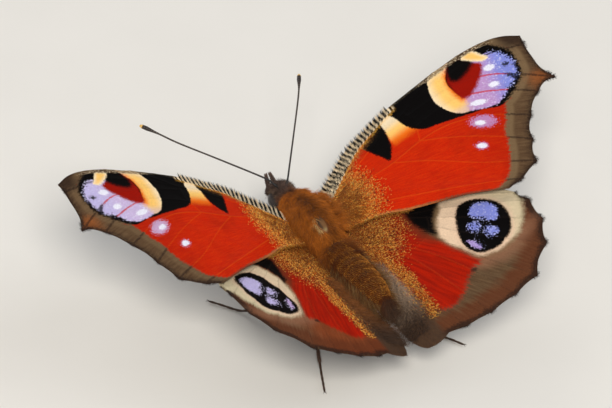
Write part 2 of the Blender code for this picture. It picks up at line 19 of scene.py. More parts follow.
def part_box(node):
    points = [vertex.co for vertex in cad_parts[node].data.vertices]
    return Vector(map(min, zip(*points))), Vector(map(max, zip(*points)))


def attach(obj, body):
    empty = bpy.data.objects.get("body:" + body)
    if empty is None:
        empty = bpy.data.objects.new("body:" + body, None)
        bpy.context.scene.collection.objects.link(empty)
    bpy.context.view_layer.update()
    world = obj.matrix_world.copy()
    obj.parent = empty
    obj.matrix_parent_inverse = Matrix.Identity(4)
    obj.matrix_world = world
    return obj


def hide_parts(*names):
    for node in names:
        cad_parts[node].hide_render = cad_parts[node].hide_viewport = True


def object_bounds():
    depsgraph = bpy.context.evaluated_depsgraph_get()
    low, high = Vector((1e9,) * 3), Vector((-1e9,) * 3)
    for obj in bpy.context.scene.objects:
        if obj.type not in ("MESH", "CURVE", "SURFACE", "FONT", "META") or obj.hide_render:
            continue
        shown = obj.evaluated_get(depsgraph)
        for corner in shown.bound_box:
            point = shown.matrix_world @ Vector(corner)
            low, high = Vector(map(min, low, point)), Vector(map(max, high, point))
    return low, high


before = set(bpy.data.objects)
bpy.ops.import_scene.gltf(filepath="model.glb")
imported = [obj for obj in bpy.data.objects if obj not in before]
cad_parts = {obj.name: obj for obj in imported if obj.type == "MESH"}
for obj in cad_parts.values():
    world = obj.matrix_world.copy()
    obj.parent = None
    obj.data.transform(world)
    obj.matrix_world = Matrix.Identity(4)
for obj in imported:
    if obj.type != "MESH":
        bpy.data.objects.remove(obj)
CAD_BOX = [list(corner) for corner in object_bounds()]

Array = np.ndarray
Draw = np.random.Generator
Material = bpy.types.Material
Object = bpy.types.Object
Pair = tuple[float, float]
Triple = tuple[float, float, float]
Points = tuple[tuple[float, ...], ...]
LOG = logging.getLogger("peacock_butterfly")

MM = 0.001
THORAX_FRONT = -4.6              # y of the thorax's front face in the design frame
THORAX_HEIGHT = 8.7              # height of the thorax's middle over the floor
TO_WORLD = np.array((0.0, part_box("thorax")[0][1] / MM - THORAX_FRONT, CAD_BOX[0][2] / MM + THORAX_HEIGHT))
BAKE_MAP = "OFBake"
LIE_MAP = "Lie"
LIE_SCALE = 40.0                 # millimetres of wing to one unit of the lie map
BAKE_START = (3.0, 6.0)          # millimetres of span and chord left free at the bake map's corner
BAKE_SIZE = (72.0, 36.0)         # millimetres of wing to the bake map's width and height
PATCH = 0.003                    # size of a hair's patch on the bake map
RING_PERIOD = 0.32               # from one pale ring of an antenna to the next
BAR_PERIOD = 0.6                 # from one black bar of the forewing's front edge to the next


class Side(Enum):
    """The butterfly's two sides, as the sign of X."""

    LEFT = 1
    RIGHT = -1

    @property
    def word(self) -> str:
        """The side's name as the nodes spell it."""
        return self.name.lower()


# Small numeric helpers

def smooth(value: Array, low: float, high: float) -> Array:
    """Even S from 0 at low to 1 at high: 3t^2 - 2t^3 of the share t between them.

    Args:
        value: numbers to map.
        low: where the S starts.
        high: where it ends.

    Returns:
        The shares, 0 to 1.
    """
    share = np.clip((np.asarray(value, float) - low) / (high - low), 0.0, 1.0)
    return share * share * (3.0 - 2.0 * share)


def unit(vectors: Array) -> Array:
    """The vectors, each divided by its length."""
    return vectors / np.maximum(np.linalg.norm(vectors, axis=-1, keepdims=True), 1e-9)


def linear(*colour: float) -> Triple:
    """Linear colour of a display colour given as 0 to 255: the usual 2.4 power curve."""
    shares = (channel / 255.0 for channel in colour)
    return tuple(s / 12.92 if s <= 0.04045 else ((s + 0.055) / 1.055)**2.4 for s in shares)


def blended(first: object, second: object, share: Array) -> Array:
    """Mix of two colours or arrays: the first where share is 0, the second where it is 1."""
    return np.asarray(first) * (1 - share) + np.asarray(second) * share


def spread(count: int, start: float) -> Array:
    """Evenly scattered pairs in the unit square: multiples of the plastic ratio's two powers, wrapped.

    Args:
        count: how many pairs.
        start: offset that makes one scatter unlike another.

    Returns:
        Array (count, 2) of numbers from 0 to 1.
    """
    steps = np.arange(1, count + 1)[:, None] * np.array((0.7548776662, 0.5698402910))
    return (start + steps) % 1.0


def ripple(places: Array, period: float, seed: int) -> Array:
    """Smooth wandering number about 0: the mean of five sine waves in drawn directions.

    Args:
        places: array (n, 2 or 3) of millimetres.
        period: rough distance between two crests.
        seed: draw of the directions.

    Returns:
        Array (n,) of numbers, mostly from -1 to 1.
    """
    draw = np.random.default_rng(seed)
    waves = draw.normal(size=(5, places.shape[-1])) * math.tau / period / math.sqrt(places.shape[-1])
    return np.sin(places @ waves.T + draw.uniform(0, math.tau, 5)).mean(axis=-1) * 1.6


def evened(path: Array, count: int) -> Array:
    """The same path with count points at equal distances along it."""
    run = np.concatenate(([0.0], np.cumsum(np.linalg.norm(np.diff(path[:, :3], axis=0), axis=1))))
    at = np.linspace(0.0, run[-1], count)
    return np.stack([np.interp(at, run, path[:, k]) for k in range(path.shape[1])], axis=1)


def curve_through(points: Points | list, count: int, closed: bool = False) -> Array:
    """Catmull-Rom curve through the points, resampled evenly.

    Args:
        points: the points, of any dimension.
        count: how many points come back.
        closed: whether the curve joins its own start.

    Returns:
        Array (count, dimension).
    """
    knots = np.asarray(points, float)
    if closed:
        padded = np.vstack((knots[-1:], knots, knots[:2]))
    else:
        padded = np.vstack((2 * knots[:1] - knots[1:2], knots, 2 * knots[-1:] - knots[-2:-1]))
    t = np.linspace(0.0, 1.0, 16, endpoint=False)[None, :, None]
    a, b, c, d = (padded[k:len(padded) - 3 + k, None, :] for k in range(4))
    dense = 0.5 * (2 * b + (c - a) * t + (2 * a - 5 * b + 4 * c - d) * t**2 + (3 * b - a - 3 * c + d) * t**3)
    dense = dense.reshape(-1, knots.shape[1])
    return evened(np.vstack((dense, knots[:1] if closed else knots[-1:])), count)


def path_distance(places: Array, path: Array) -> tuple[Array, Array]:
    """Distance from each place to a polyline, and how far along the line its nearest spot is.

    Args:
        places: array (n, 2).
        path: array (m, 2).

    Returns:
        The distances, and the lengths along the path.
    """
    best = np.full(len(places), 1e9)
    along = np.zeros(len(places))
    run = 0.0
    for start, end in zip(path[:-1], path[1:]):
        edge = end - start
        length = float(np.hypot(*edge))
        share = np.clip((places - start) @ edge / max(length**2, 1e-12), 0.0, 1.0)
        gap = np.hypot(*(start + share[:, None] * edge - places).T)
        nearer = gap < best
        best = np.where(nearer, gap, best)
        along = np.where(nearer, run + share * length, along)
        run += length
    return best, along


def depth_inside(places: Array, outline: Points, count: int = 90) -> Array:
    """Signed distance to the smooth closed curve through the outline's points, positive inside it.

    Args:
        places: array (n, 2).
        outline: corners of the marking.
        count: points that the curve is drawn with.

    Returns:
        Array (n,) of millimetres.
    """
    ring = curve_through(outline, count, closed=True)
    gap, _ = path_distance(places, ring)
    odd = np.zeros(len(places), bool)
    for (x0, y0), (x1, y1) in zip(ring[:-1], ring[1:]):
        if y0 == y1:
            continue
        crosses = (y0 > places[:, 1]) != (y1 > places[:, 1])
        odd ^= crosses & (places[:, 0] < x0 + (places[:, 1] - y0) * (x1 - x0) / (y1 - y0))
    return np.where(odd, gap, -gap)


def oval_depth(places: Array, centre: Pair, halves: Pair, turn: float) -> Array:
    """Signed distance, roughly, to a turned oval: its short half times 1 minus the oval norm."""
    angle = math.radians(turn)
    x, y = (places - centre).T
    along = x * math.cos(angle) + y * math.sin(angle)
    across = y * math.cos(angle) - x * math.sin(angle)
    return min(halves) * (1.0 - np.hypot(along / halves[0], across / halves[1]))


# Meshes

def grid_faces(rows: int, columns: int, wrap: bool = False) -> Array:
    """Quads over a grid of points stored row by row, whose last column may join its first."""
    across = columns if wrap else columns - 1
    row, column = np.meshgrid(np.arange(rows - 1), np.arange(across), indexing="ij")
    near, far = row * columns, (row + 1) * columns
    following = (column + 1) % columns
    quads = np.stack((near + column, near + following, far + following, far + column), axis=-1)
    return quads.reshape(-1, 4)


def fan_faces(ring: Array, tip: int) -> Array:
    """Triangles from a closed ring of point numbers to one tip."""
    return np.stack((ring, np.roll(ring, -1), np.full(len(ring), tip)), axis=1)


def capped_faces(rows: int, columns: int) -> list[Array]:
    """Faces of closed rings stored row by row, with a fan over each end to one more point."""
    count = rows * columns
    return [grid_faces(rows, columns, wrap=True), fan_faces(np.arange(columns)[::-1], count),
            fan_faces(np.arange(count - columns, count), count + 1)]


def make_mesh(name: str, points: Array, faces: list[Array], materials: list[Material],
              numbers: dict[str, Array] | None = None, tint: Array | None = None,
              maps: dict[str, Array] | None = None, slots: Array | None = None) -> Object:
    """Smooth mesh object at the origin from whole arrays.

    Args:
        name: name of the object.
        points: design-frame points, (n, 3).
        faces: arrays of point numbers, each with one face to a row.
        materials: the object's material slots.
        numbers: attributes with one number to a point.
        tint: linear colour of each point.
        maps: UV maps, with one pair to a point.
        slots: material slot of each face.

    Returns:
        The object, linked to the scene.
    """
    mesh = bpy.data.meshes.new(name)
    corners = np.concatenate([block.ravel() for block in faces]).astype(np.int32)
    sizes = np.concatenate([np.full(len(block), block.shape[1]) for block in faces])
    mesh.vertices.add(len(points))
    mesh.vertices.foreach_set("co", ((points + TO_WORLD) * MM).astype(np.float32).ravel())
    mesh.loops.add(len(corners))
    mesh.loops.foreach_set("vertex_index", corners)
    mesh.polygons.add(len(sizes))
    mesh.polygons.foreach_set("loop_start", np.concatenate(([0], np.cumsum(sizes)[:-1])).astype(np.int32))
    for label, values in (numbers or {}).items():
        layer = mesh.attributes.new(label, "FLOAT", "POINT")
        layer.data.foreach_set("value", np.ascontiguousarray(values, np.float32))
    if tint is not None:
        layer = mesh.attributes.new("Tint", "FLOAT_COLOR", "POINT")
        opaque = np.column_stack((tint, np.ones(len(tint))))
        layer.data.foreach_set("color", opaque.astype(np.float32).ravel())
    for label, pairs in (maps or {}).items():
        layer = mesh.uv_layers.new(name=label)
        layer.uv.foreach_set("vector", pairs[corners].astype(np.float32).ravel())
    for material in materials:
        mesh.materials.append(material)
    if slots is not None:
        mesh.polygons.foreach_set("material_index", slots.astype(np.int32))
    mesh.update(calc_edges=True)
    mesh.validate()
    mesh.shade_smooth()
    item = bpy.data.objects.new(name, mesh)
    bpy.context.scene.collection.objects.link(item)
    return item


def dress(item: Object, slot: str, *nodes: str) -> Object:
    """Put a piece on the still body and hide the solids that it stands for."""
    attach(item, "root")
    if nodes:
        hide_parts(*nodes)
    LOG.info("%s: %d triangles", item.name, sum(len(p.vertices) - 2 for p in item.data.polygons))
    return item


def tube(path: Array, radii: Array, sides: int) -> tuple[Array, list[Array]]:
    """Closed tube along a path: rings square to it, and a fan to a point over each end.

    Args:
        path: array (n, 3) of middle points.
        radii: array (n,) of radii.
        sides: points in a ring.

    Returns:
        Points and faces.
    """
    along = unit(np.gradient(path, axis=0))
    lead = np.array((0.0, 0.0, 1.0)) if abs(along[:, 2]).max() < 0.95 else np.array((0.31, 0.95, 0.05))
    first = unit(np.cross(along, lead))
    second = np.cross(along, first)
    angles = np.arange(sides) * math.tau / sides
    ring = np.cos(angles)[None, :, None] * first[:, None] + np.sin(angles)[None, :, None] * second[:, None]
    points = (path[:, None] + radii[:, None, None] * ring).reshape(-1, 3)
    caps = np.vstack((path[0] - along[0] * radii[0] * 0.5, path[-1] + along[-1] * radii[-1] * 0.5))
    return np.vstack((points, caps)), capped_faces(len(path), sides)


def joined(forms: list[tuple[Array, list[Array]]]) -> tuple[Array, list[Array]]:
    """The points and faces of several closed forms as one set."""
    starts = np.cumsum([0] + [len(points) for points, _ in forms[:-1]])
    faces = [block + start for start, (_, blocks) in zip(starts, forms) for block in blocks]
    return np.vstack([points for points, _ in forms]), faces


# Hairs and scales

@dataclass
class Hairs:
    """Many tapered hairs: where each is rooted, where it points, and how it bends and is coloured."""

    roots: Array
    aims: Array
    bends: Array
    lengths: Array
    widths: Array
    tint: Array
    places: Array
    levels: int = 3
    flat: float = 1.0
    seed: int = 1

    def chosen(self, keep: Array) -> "Hairs":
        """Only the hairs that a mask or a slice keeps."""
        arrays = ("roots", "aims", "bends", "lengths", "widths", "tint", "places")
        return replace(self, **{name: getattr(self, name)[keep] for name in arrays})

    def made(self, name: str, material: Material) -> Object:
        """One mesh of all the hairs: rings of three points on a bent line, closed by a tip and a base.

        Args:
            name: name of the object.
            material: the hairs' finish.

        Returns:
            The object, with each hair a small patch at its root's place on the bake map.
        """
        draw = np.random.default_rng(self.seed)
        count = len(self.roots)
        aims = unit(self.aims)
        first = unit(np.cross(aims, unit(draw.normal(size=(count, 3)) * 0.35 + np.array((0.0, 0.0, 1.0)))))
        second = np.cross(aims, first) * self.flat
        share = np.arange(self.levels) / self.levels
        middle = (self.roots[:, None] + self.lengths[:, None, None] * (
            aims[:, None] * share[None, :, None] + self.bends[:, None] * share[None, :, None]**2))
        angles = np.arange(3) * math.tau / 3
        around = (np.cos(angles)[:, None] * first[:, None] + np.sin(angles)[:, None] * second[:, None])
        wide = self.widths[:, None] * (1.0 - share[None])**0.55
        rings = middle[:, :, None] + wide[:, :, None, None] * around[:, None]
        tips = self.roots + self.lengths[:, None] * (aims + self.bends)
        each = 3 * self.levels + 1
        points = np.concatenate((rings.reshape(count, -1, 3), tips[:, None]), axis=1).reshape(-1, 3)
        starts = (np.arange(count) * each)[:, None, None]
        sides = (grid_faces(self.levels, 3, wrap=True)[None] + starts).reshape(-1, 4)
        last = 3 * (self.levels - 1)
        ends = np.vstack((fan_faces(np.arange(last, last + 3), last + 3), [[2, 1, 0]]))
        ends = (ends[None] + starts).reshape(-1, 3)
        height = np.append(np.repeat(share, 3), 1.0)
        corner = np.append(np.tile(np.arange(3) / 3.0, self.levels), 0.5)
        patch = np.stack((corner, height), axis=1) * PATCH
        return make_mesh(
            name, points, [sides, ends], [material],
            numbers={"along": np.tile(height, count), "draw": np.repeat(draw.uniform(size=count), each)},
            tint=np.repeat(self.tint, each, axis=0),
            maps={BAKE_MAP: (self.places[:, None] + patch[None]).reshape(-1, 2)})


# Shader maths

class Value:
    """A socket of a shader tree, so that shader maths reads as Python expressions."""

    def __init__(self, paint: "Paint", socket: bpy.types.NodeSocket) -> None:
        self.paint, self.socket = paint, socket

    def math(self, operation: str, *others: "Value | float") -> "Value":
        """A Math node on this value and the others."""
        return self.paint.node("ShaderNodeMath", {"operation": operation}, dict(enumerate((self, *others))))

    def __add__(self, other: "Value | float") -> "Value":
        return self.math("ADD", other)

    def __sub__(self, other: "Value | float") -> "Value":
        return self.math("SUBTRACT", other)

    def __mul__(self, other: "Value | float") -> "Value":
        return self.math("MULTIPLY", other)

    def __rsub__(self, other: float) -> "Value":
        return self.paint.node("ShaderNodeMath", {"operation": "SUBTRACT"}, {0: other, 1: self})

    __radd__ = __add__
    __rmul__ = __mul__

    def most(self, other: "Value | float") -> "Value":
        """The larger of two values."""
        return self.math("MAXIMUM", other)

    def rise(self, low: float, high: float) -> "Value":
        """Even S from 0 at low to 1 at high, or from 1 down to 0 where low is the greater."""
        ends = (0.0, 1.0) if low < high else (1.0, 0.0)
        return self.paint.node("ShaderNodeMapRange", {"interpolation_type": "SMOOTHSTEP"}, {
            "Value": self, "From Min": min(low, high), "From Max": max(low, high),
            "To Min": ends[0], "To Max": ends[1]})


class Paint:
    """One material: its node tree, the shader in it, and the ways to add to it."""

    def __init__(self, name: str, **fixed: float | tuple[float, ...]) -> None:
        """Start a material.

        Args:
            name: name of the material.
            fixed: shader values that are alike all over, with underscores for spaces.
        """
        self.material = bpy.data.materials.new(name)
        self.material.use_nodes = True
        self.tree = self.material.node_tree
        self.shader = self.tree.nodes["Principled BSDF"]
        self.colour: object = None       # what has been laid so far
        for label, value in fixed.items():
            self.shader.inputs[label.replace("_", " ")].default_value = value

    def node(self, kind: str, settings: dict[str, object], values: dict[int | str, object],
             output: int | str = 0) -> Value:
        """Add one node.

        Args:
            kind: the node's type.
            settings: its own settings, set first.
            values: numbers, colours or values for its sockets.
            output: which output comes back.

        Returns:
            The output as a value.
        """
        made = self.tree.nodes.new(kind)
        for label, setting in settings.items():
            setattr(made, label, setting)
        for label, value in values.items():
            if isinstance(value, Value):
                self.tree.links.new(value.socket, made.inputs[label])
            elif isinstance(value, tuple) and len(value) == 3 and made.inputs[label].type == "RGBA":
                made.inputs[label].default_value = (*value, 1.0)
            else:
                made.inputs[label].default_value = value
        return Value(self, made.outputs[output])

    def number(self, name: str) -> Value:
        """A number that the mesh carries on its points."""
        return self.node("ShaderNodeAttribute", {"attribute_name": name}, {}, "Fac")

    def tint(self) -> Value:
        """The colour that the mesh carries on its points."""
        return self.node("ShaderNodeAttribute", {"attribute_name": "Tint"}, {}, "Color")

    def place(self) -> Value:
        """Object coordinates."""
        return self.node("ShaderNodeTexCoord", {}, {}, "Object")

    def lie(self, along: float, across: float) -> Value:
        """Place on the wing's lie map, in crests to a millimetre along the wing and across it."""
        spot = self.node("ShaderNodeUVMap", {"uv_map": LIE_MAP}, {})
        return self.node("ShaderNodeVectorMath", {"operation": "MULTIPLY"}, {
            0: spot, 1: (along * LIE_SCALE, across * LIE_SCALE, 1.0)})

    def noise(self, at: Value, scale: float, detail: float = 2.0, rough: float = 0.5) -> Value:
        """Noise from 0 to 1 at a place."""
        return self.node("ShaderNodeTexNoise", {}, {
            "Vector": at, "Scale": scale, "Detail": detail, "Roughness": rough})

    def mix(self, share: Value | float, under: object, over: object) -> Value:
        """Colour that goes from under to over as share goes from 0 to 1."""
        return self.node("ShaderNodeMix", {"data_type": "RGBA"}, {0: share, 6: under, 7: over}, 2)

    def lay(self, share: Value | float, over: object) -> None:
        """Lay a colour over what has been laid so far, as thickly as share says."""
        self.colour = self.mix(share, self.colour, over)

    def shade(self, colour: Value, share: Value | float) -> Value:
        """The colour multiplied by a grey share."""
        grey = self.node("ShaderNodeCombineColor", {}, {0: share, 1: share, 2: share})
        return self.node("ShaderNodeMix", {"data_type": "RGBA", "blend_type": "MULTIPLY"}, {
            0: 1.0, 6: colour, 7: grey}, 2)

    def finish(self, colour: object, roughness: object = None, height: Value | None = None,
               depth: float = 0.01) -> Material:
        """Join what was worked out to the shader.

        Args:
            colour: base colour.
            roughness: roughness, where it varies.
            height: bump height, 0 to 1.
            depth: millimetres of the bump.

        Returns:
            The finished material.
        """
        targets = {"Base Color": colour, "Roughness": roughness}
        if height is not None:
            targets["Normal"] = self.node("ShaderNodeBump", {}, {
                "Strength": 1.0, "Distance": depth * MM, "Height": height})
        for label, value in targets.items():
            if isinstance(value, Value):
                self.tree.links.new(value.socket, self.shader.inputs[label])
            elif value is not None:
                self.shader.inputs[label].default_value = (*value, 1.0)
        return self.material


# Wings

@dataclass(frozen=True)
class WingColours:
    """Colours of the wings' scales, as shown on a display."""

    red: tuple = linear(200, 34, 3)
    ember: tuple = linear(214, 54, 6)
    deep_red: tuple = linear(142, 20, 4)
    blood: tuple = linear(150, 18, 4)
    black: tuple = linear(7, 5, 5)
    brown: tuple = linear(88, 65, 45)
    dark_brown: tuple = linear(44, 31, 25)
    chestnut: tuple = linear(98, 50, 28)
    rose_brown: tuple = linear(150, 106, 80)
    tan: tuple = linear(132, 108, 78)
    rust: tuple = linear(150, 84, 40)
    amber: tuple = linear(206, 96, 15)
    copper: tuple = linear(150, 60, 15)
    cream: tuple = linear(250, 228, 190)
    ring_cream: tuple = linear(238, 208, 176)
    olive: tuple = linear(150, 122, 66)
    hem: tuple = linear(186, 134, 74)
    yellow: tuple = linear(255, 204, 112)
    orange: tuple = linear(244, 116, 24)
    blush: tuple = linear(232, 196, 168)
    straw: tuple = linear(206, 194, 158)
    white: tuple = linear(238, 238, 252)
    lilac: tuple = linear(188, 148, 202)
    blue: tuple = linear(130, 140, 220)
    # pale_lilac is painted light: the blue scales of the left wings, which face the light
    pale_lilac: tuple = linear(208, 194, 230)
    gold: tuple = linear(230, 170, 70)
    light_gold: tuple = linear(244, 190, 96)
    # fold is the right hindwing's inner edge and fox_fold the left one's: they differ as painted light
    fold: tuple = linear(164, 140, 118)
    fox_fold: tuple = linear(138, 86, 46)
    fold_end: tuple = linear(75, 55, 42)
    bark: tuple = linear(44, 34, 29)
    bark_light: tuple = linear(96, 80, 66)


COLOURS = WingColours()
SCALE_HUES = (("gold", 0.36), ("light_gold", 0.48), ("amber", 0.70), ("copper", 0.82), ("dark_brown", 1.0))


@dataclass
class WingForm:
    """Sizes and shape of one pair of wings. Its outline runs root, front edge, margin, hind edge."""

    kind: str
    hinge: Triple
    dihedral: float
    pitch: float
    root: tuple[Pair, Pair]
    costa: Points
    margin: tuple
    trail: Points
    veins: tuple
    rows: int = 200              # points along the span
    columns: int = 140           # points along the chord
    half_thickness: float = 0.055
    vein_width: float = 0.16
    vein_height: float = 0.05
    pleat: float = 0.06          # how far the skin between two veins lies under them
    ripple_height: float = 0.05
    left_lift: float = 0.0       # how far the left wing's outer half is held above the right one's

    def height(self, plan: Array) -> Array:
        """Height of the middle surface over the wing's plane."""
        raise NotImplementedError

    def markings(self, plan: Array) -> dict[str, Array]:
        """The measures that the wing's finish reads."""
        raise NotImplementedError

    def axes(self) -> tuple[Array, Array, Array]:
        """Unit directions of the left wing: out along the span, back along the chord, and up."""
        dihedral, pitch = math.radians(self.dihedral), math.radians(self.pitch)
        up = np.array((-math.sin(dihedral) * math.cos(pitch), math.sin(pitch),
                       math.cos(dihedral) * math.cos(pitch)))
        out = np.array((math.cos(dihedral), 0.0, math.sin(dihedral)))
        return out, np.cross(up, out), up

    def surface(self, plan: Array, lift: Array | float, side: Side) -> Array:
        """Design-frame points at the given places: hinge + span out + chord back + (height + lift) up.

        Args:
            plan: array (n, 2) of (span, chord).
            lift: height over the middle surface.
            side: which wing.

        Returns:
            Array (n, 3).
        """
        out, back, up = self.axes()
        extra = self.left_lift * smooth(plan[:, 0], 3.0, 12.0) * (side is Side.LEFT)
        raised = (self.height(plan) + lift + extra)[:, None] * up
        points = np.array(self.hinge) + plan[:, :1] * out + plan[:, 1:] * back + raised
        return points * np.array((side.value, 1.0, 1.0))

    def direction(self, out_share: Array, back_share: Array, up_share: Array, side: Side) -> Array:
        """Design-frame vectors from shares of the wing's three directions."""
        out, back, up = self.axes()
        vectors = out_share[:, None] * out + back_share[:, None] * back + up_share[:, None] * up
        return vectors * np.array((side.value, 1.0, 1.0))

    def margin_line(self) -> Array:
        """Outer margin: between two teeth it is drawn in by a half sine."""
        corner = np.array(self.costa[-1])
        share = np.linspace(0.0, 1.0, 24, endpoint=False)[:, None]
        pieces = []
        for tooth, depth in self.margin:
            edge = np.array(tooth) - corner
            inward = np.array((-edge[1], edge[0])) / np.linalg.norm(edge)
            pieces.append(corner + edge * share + inward * depth * np.sin(math.pi * share))
            corner = np.array(tooth)
        return np.vstack((*pieces, corner))

    def plan_grid(self) -> tuple[Array, Array]:
        """Coons patch over the outline: the two blends of opposite edges, less that of the corners.

        Returns:
            Places (rows x columns, 2) and their two parameters, along the span and along the chord.
        """
        front = curve_through([self.root[0], *self.costa], self.rows)
        rear = curve_through([self.root[1], *self.trail[::-1], self.margin[-1][0]], self.rows)
        inner = curve_through([self.root[0], self.root[1]], self.columns)
        outer = evened(self.margin_line(), self.columns)
        s = np.linspace(0.0, 1.0, self.rows)[:, None, None]
        t = np.linspace(0.0, 1.0, self.columns)[None, :, None]
        plan = ((1 - t) * front[:, None] + t * rear[:, None] + (1 - s) * inner[None] + s * outer[None]
                - (1 - s) * (1 - t) * front[0] - (1 - s) * t * rear[0]
                - s * (1 - t) * front[-1] - s * t * rear[-1])
        share = np.stack(np.broadcast_arrays(s[..., 0], t[..., 0]), axis=-1)
        return plan.reshape(-1, 2), share.reshape(-1, 2)

    def vein_distance(self, plan: Array) -> Array:
        """Distance to the nearest vein."""
        return np.min([path_distance(plan, curve_through(vein, 24))[0] for vein in self.veins], axis=0)

    def bake_place(self, plan: Array, under: bool) -> Array:
        """Place on the bake map: the upper face fills its left half, the lower face its right."""
        place = (plan + BAKE_START) / BAKE_SIZE
        return place + (0.5, 0.0) if under else place

    def relief(self, plan: Array, vein: Array) -> tuple[Array, Array]:
        """How far the veins stand out, and how far the skin sinks between them and ripples.

        Args:
            plan: places on the wing.
            vein: distance to the nearest vein.

        Returns:
            The ridge height, on both faces, and the shift of the middle surface.
        """
        ridge = self.vein_height * (1.0 - smooth(vein, 0.03, self.vein_width))
        sunk = -self.pleat * smooth(vein, 0.0, 1.3) * smooth(plan[:, 0] + 0.5 * plan[:, 1], 3.0, 9.0)
        return ridge, sunk + self.ripple_height * ripple(plan, 6.0, 11) + 0.02 * ripple(plan, 1.6, 12)

    def build(self, side: Side, upper: Material, lower: Material) -> Object:
        """The wing as one closed skin: an upper and a lower grid, joined round the edge.

        Args:
            side: which wing.
            upper: finish of the upper face.
            lower: finish of the lower face.

        Returns:
            The wing.
        """
        plan, share = self.plan_grid()
        vein = self.vein_distance(plan)
        ridge, shift = self.relief(plan, vein)
        half = self.half_thickness + ridge
        count = len(plan)
        points = np.vstack((self.surface(plan, shift + half, side), self.surface(plan, shift - half, side)))
        numbers = {"vein": vein, **self.markings(plan)}
        top = grid_faces(self.rows, self.columns)
        if side is Side.LEFT:
            top = top[:, ::-1]
        bottom = top[:, ::-1] + count
        grid = np.arange(count).reshape(self.rows, self.columns)
        loop = np.concatenate((grid[0, :-1], grid[:-1, -1], grid[-1, :0:-1], grid[:0:-1, 0]))
        after = np.roll(loop, -1)
        rim = np.stack((loop, after, after + count, loop + count), axis=1)
        if side is Side.RIGHT:
            rim = rim[:, ::-1]
        slots = np.concatenate((np.zeros(len(top)), np.ones(len(bottom)), np.zeros(len(rim))))
        size = np.array((np.ptp(plan[:, 0]), np.ptp(plan[:, 1]))) / LIE_SCALE
        wing = make_mesh(
            f"{self.kind}_{side.word}_scaled", points, [top, bottom, rim], [upper, lower],
            numbers={label: np.tile(values, 2) for label, values in numbers.items()},
            maps={BAKE_MAP: np.vstack((self.bake_place(plan, False), self.bake_place(plan, True))),
                  LIE_MAP: np.tile(share * size, (2, 1))}, slots=slots)
        return dress(wing, self.kind, f"{self.kind}_{side.word}")


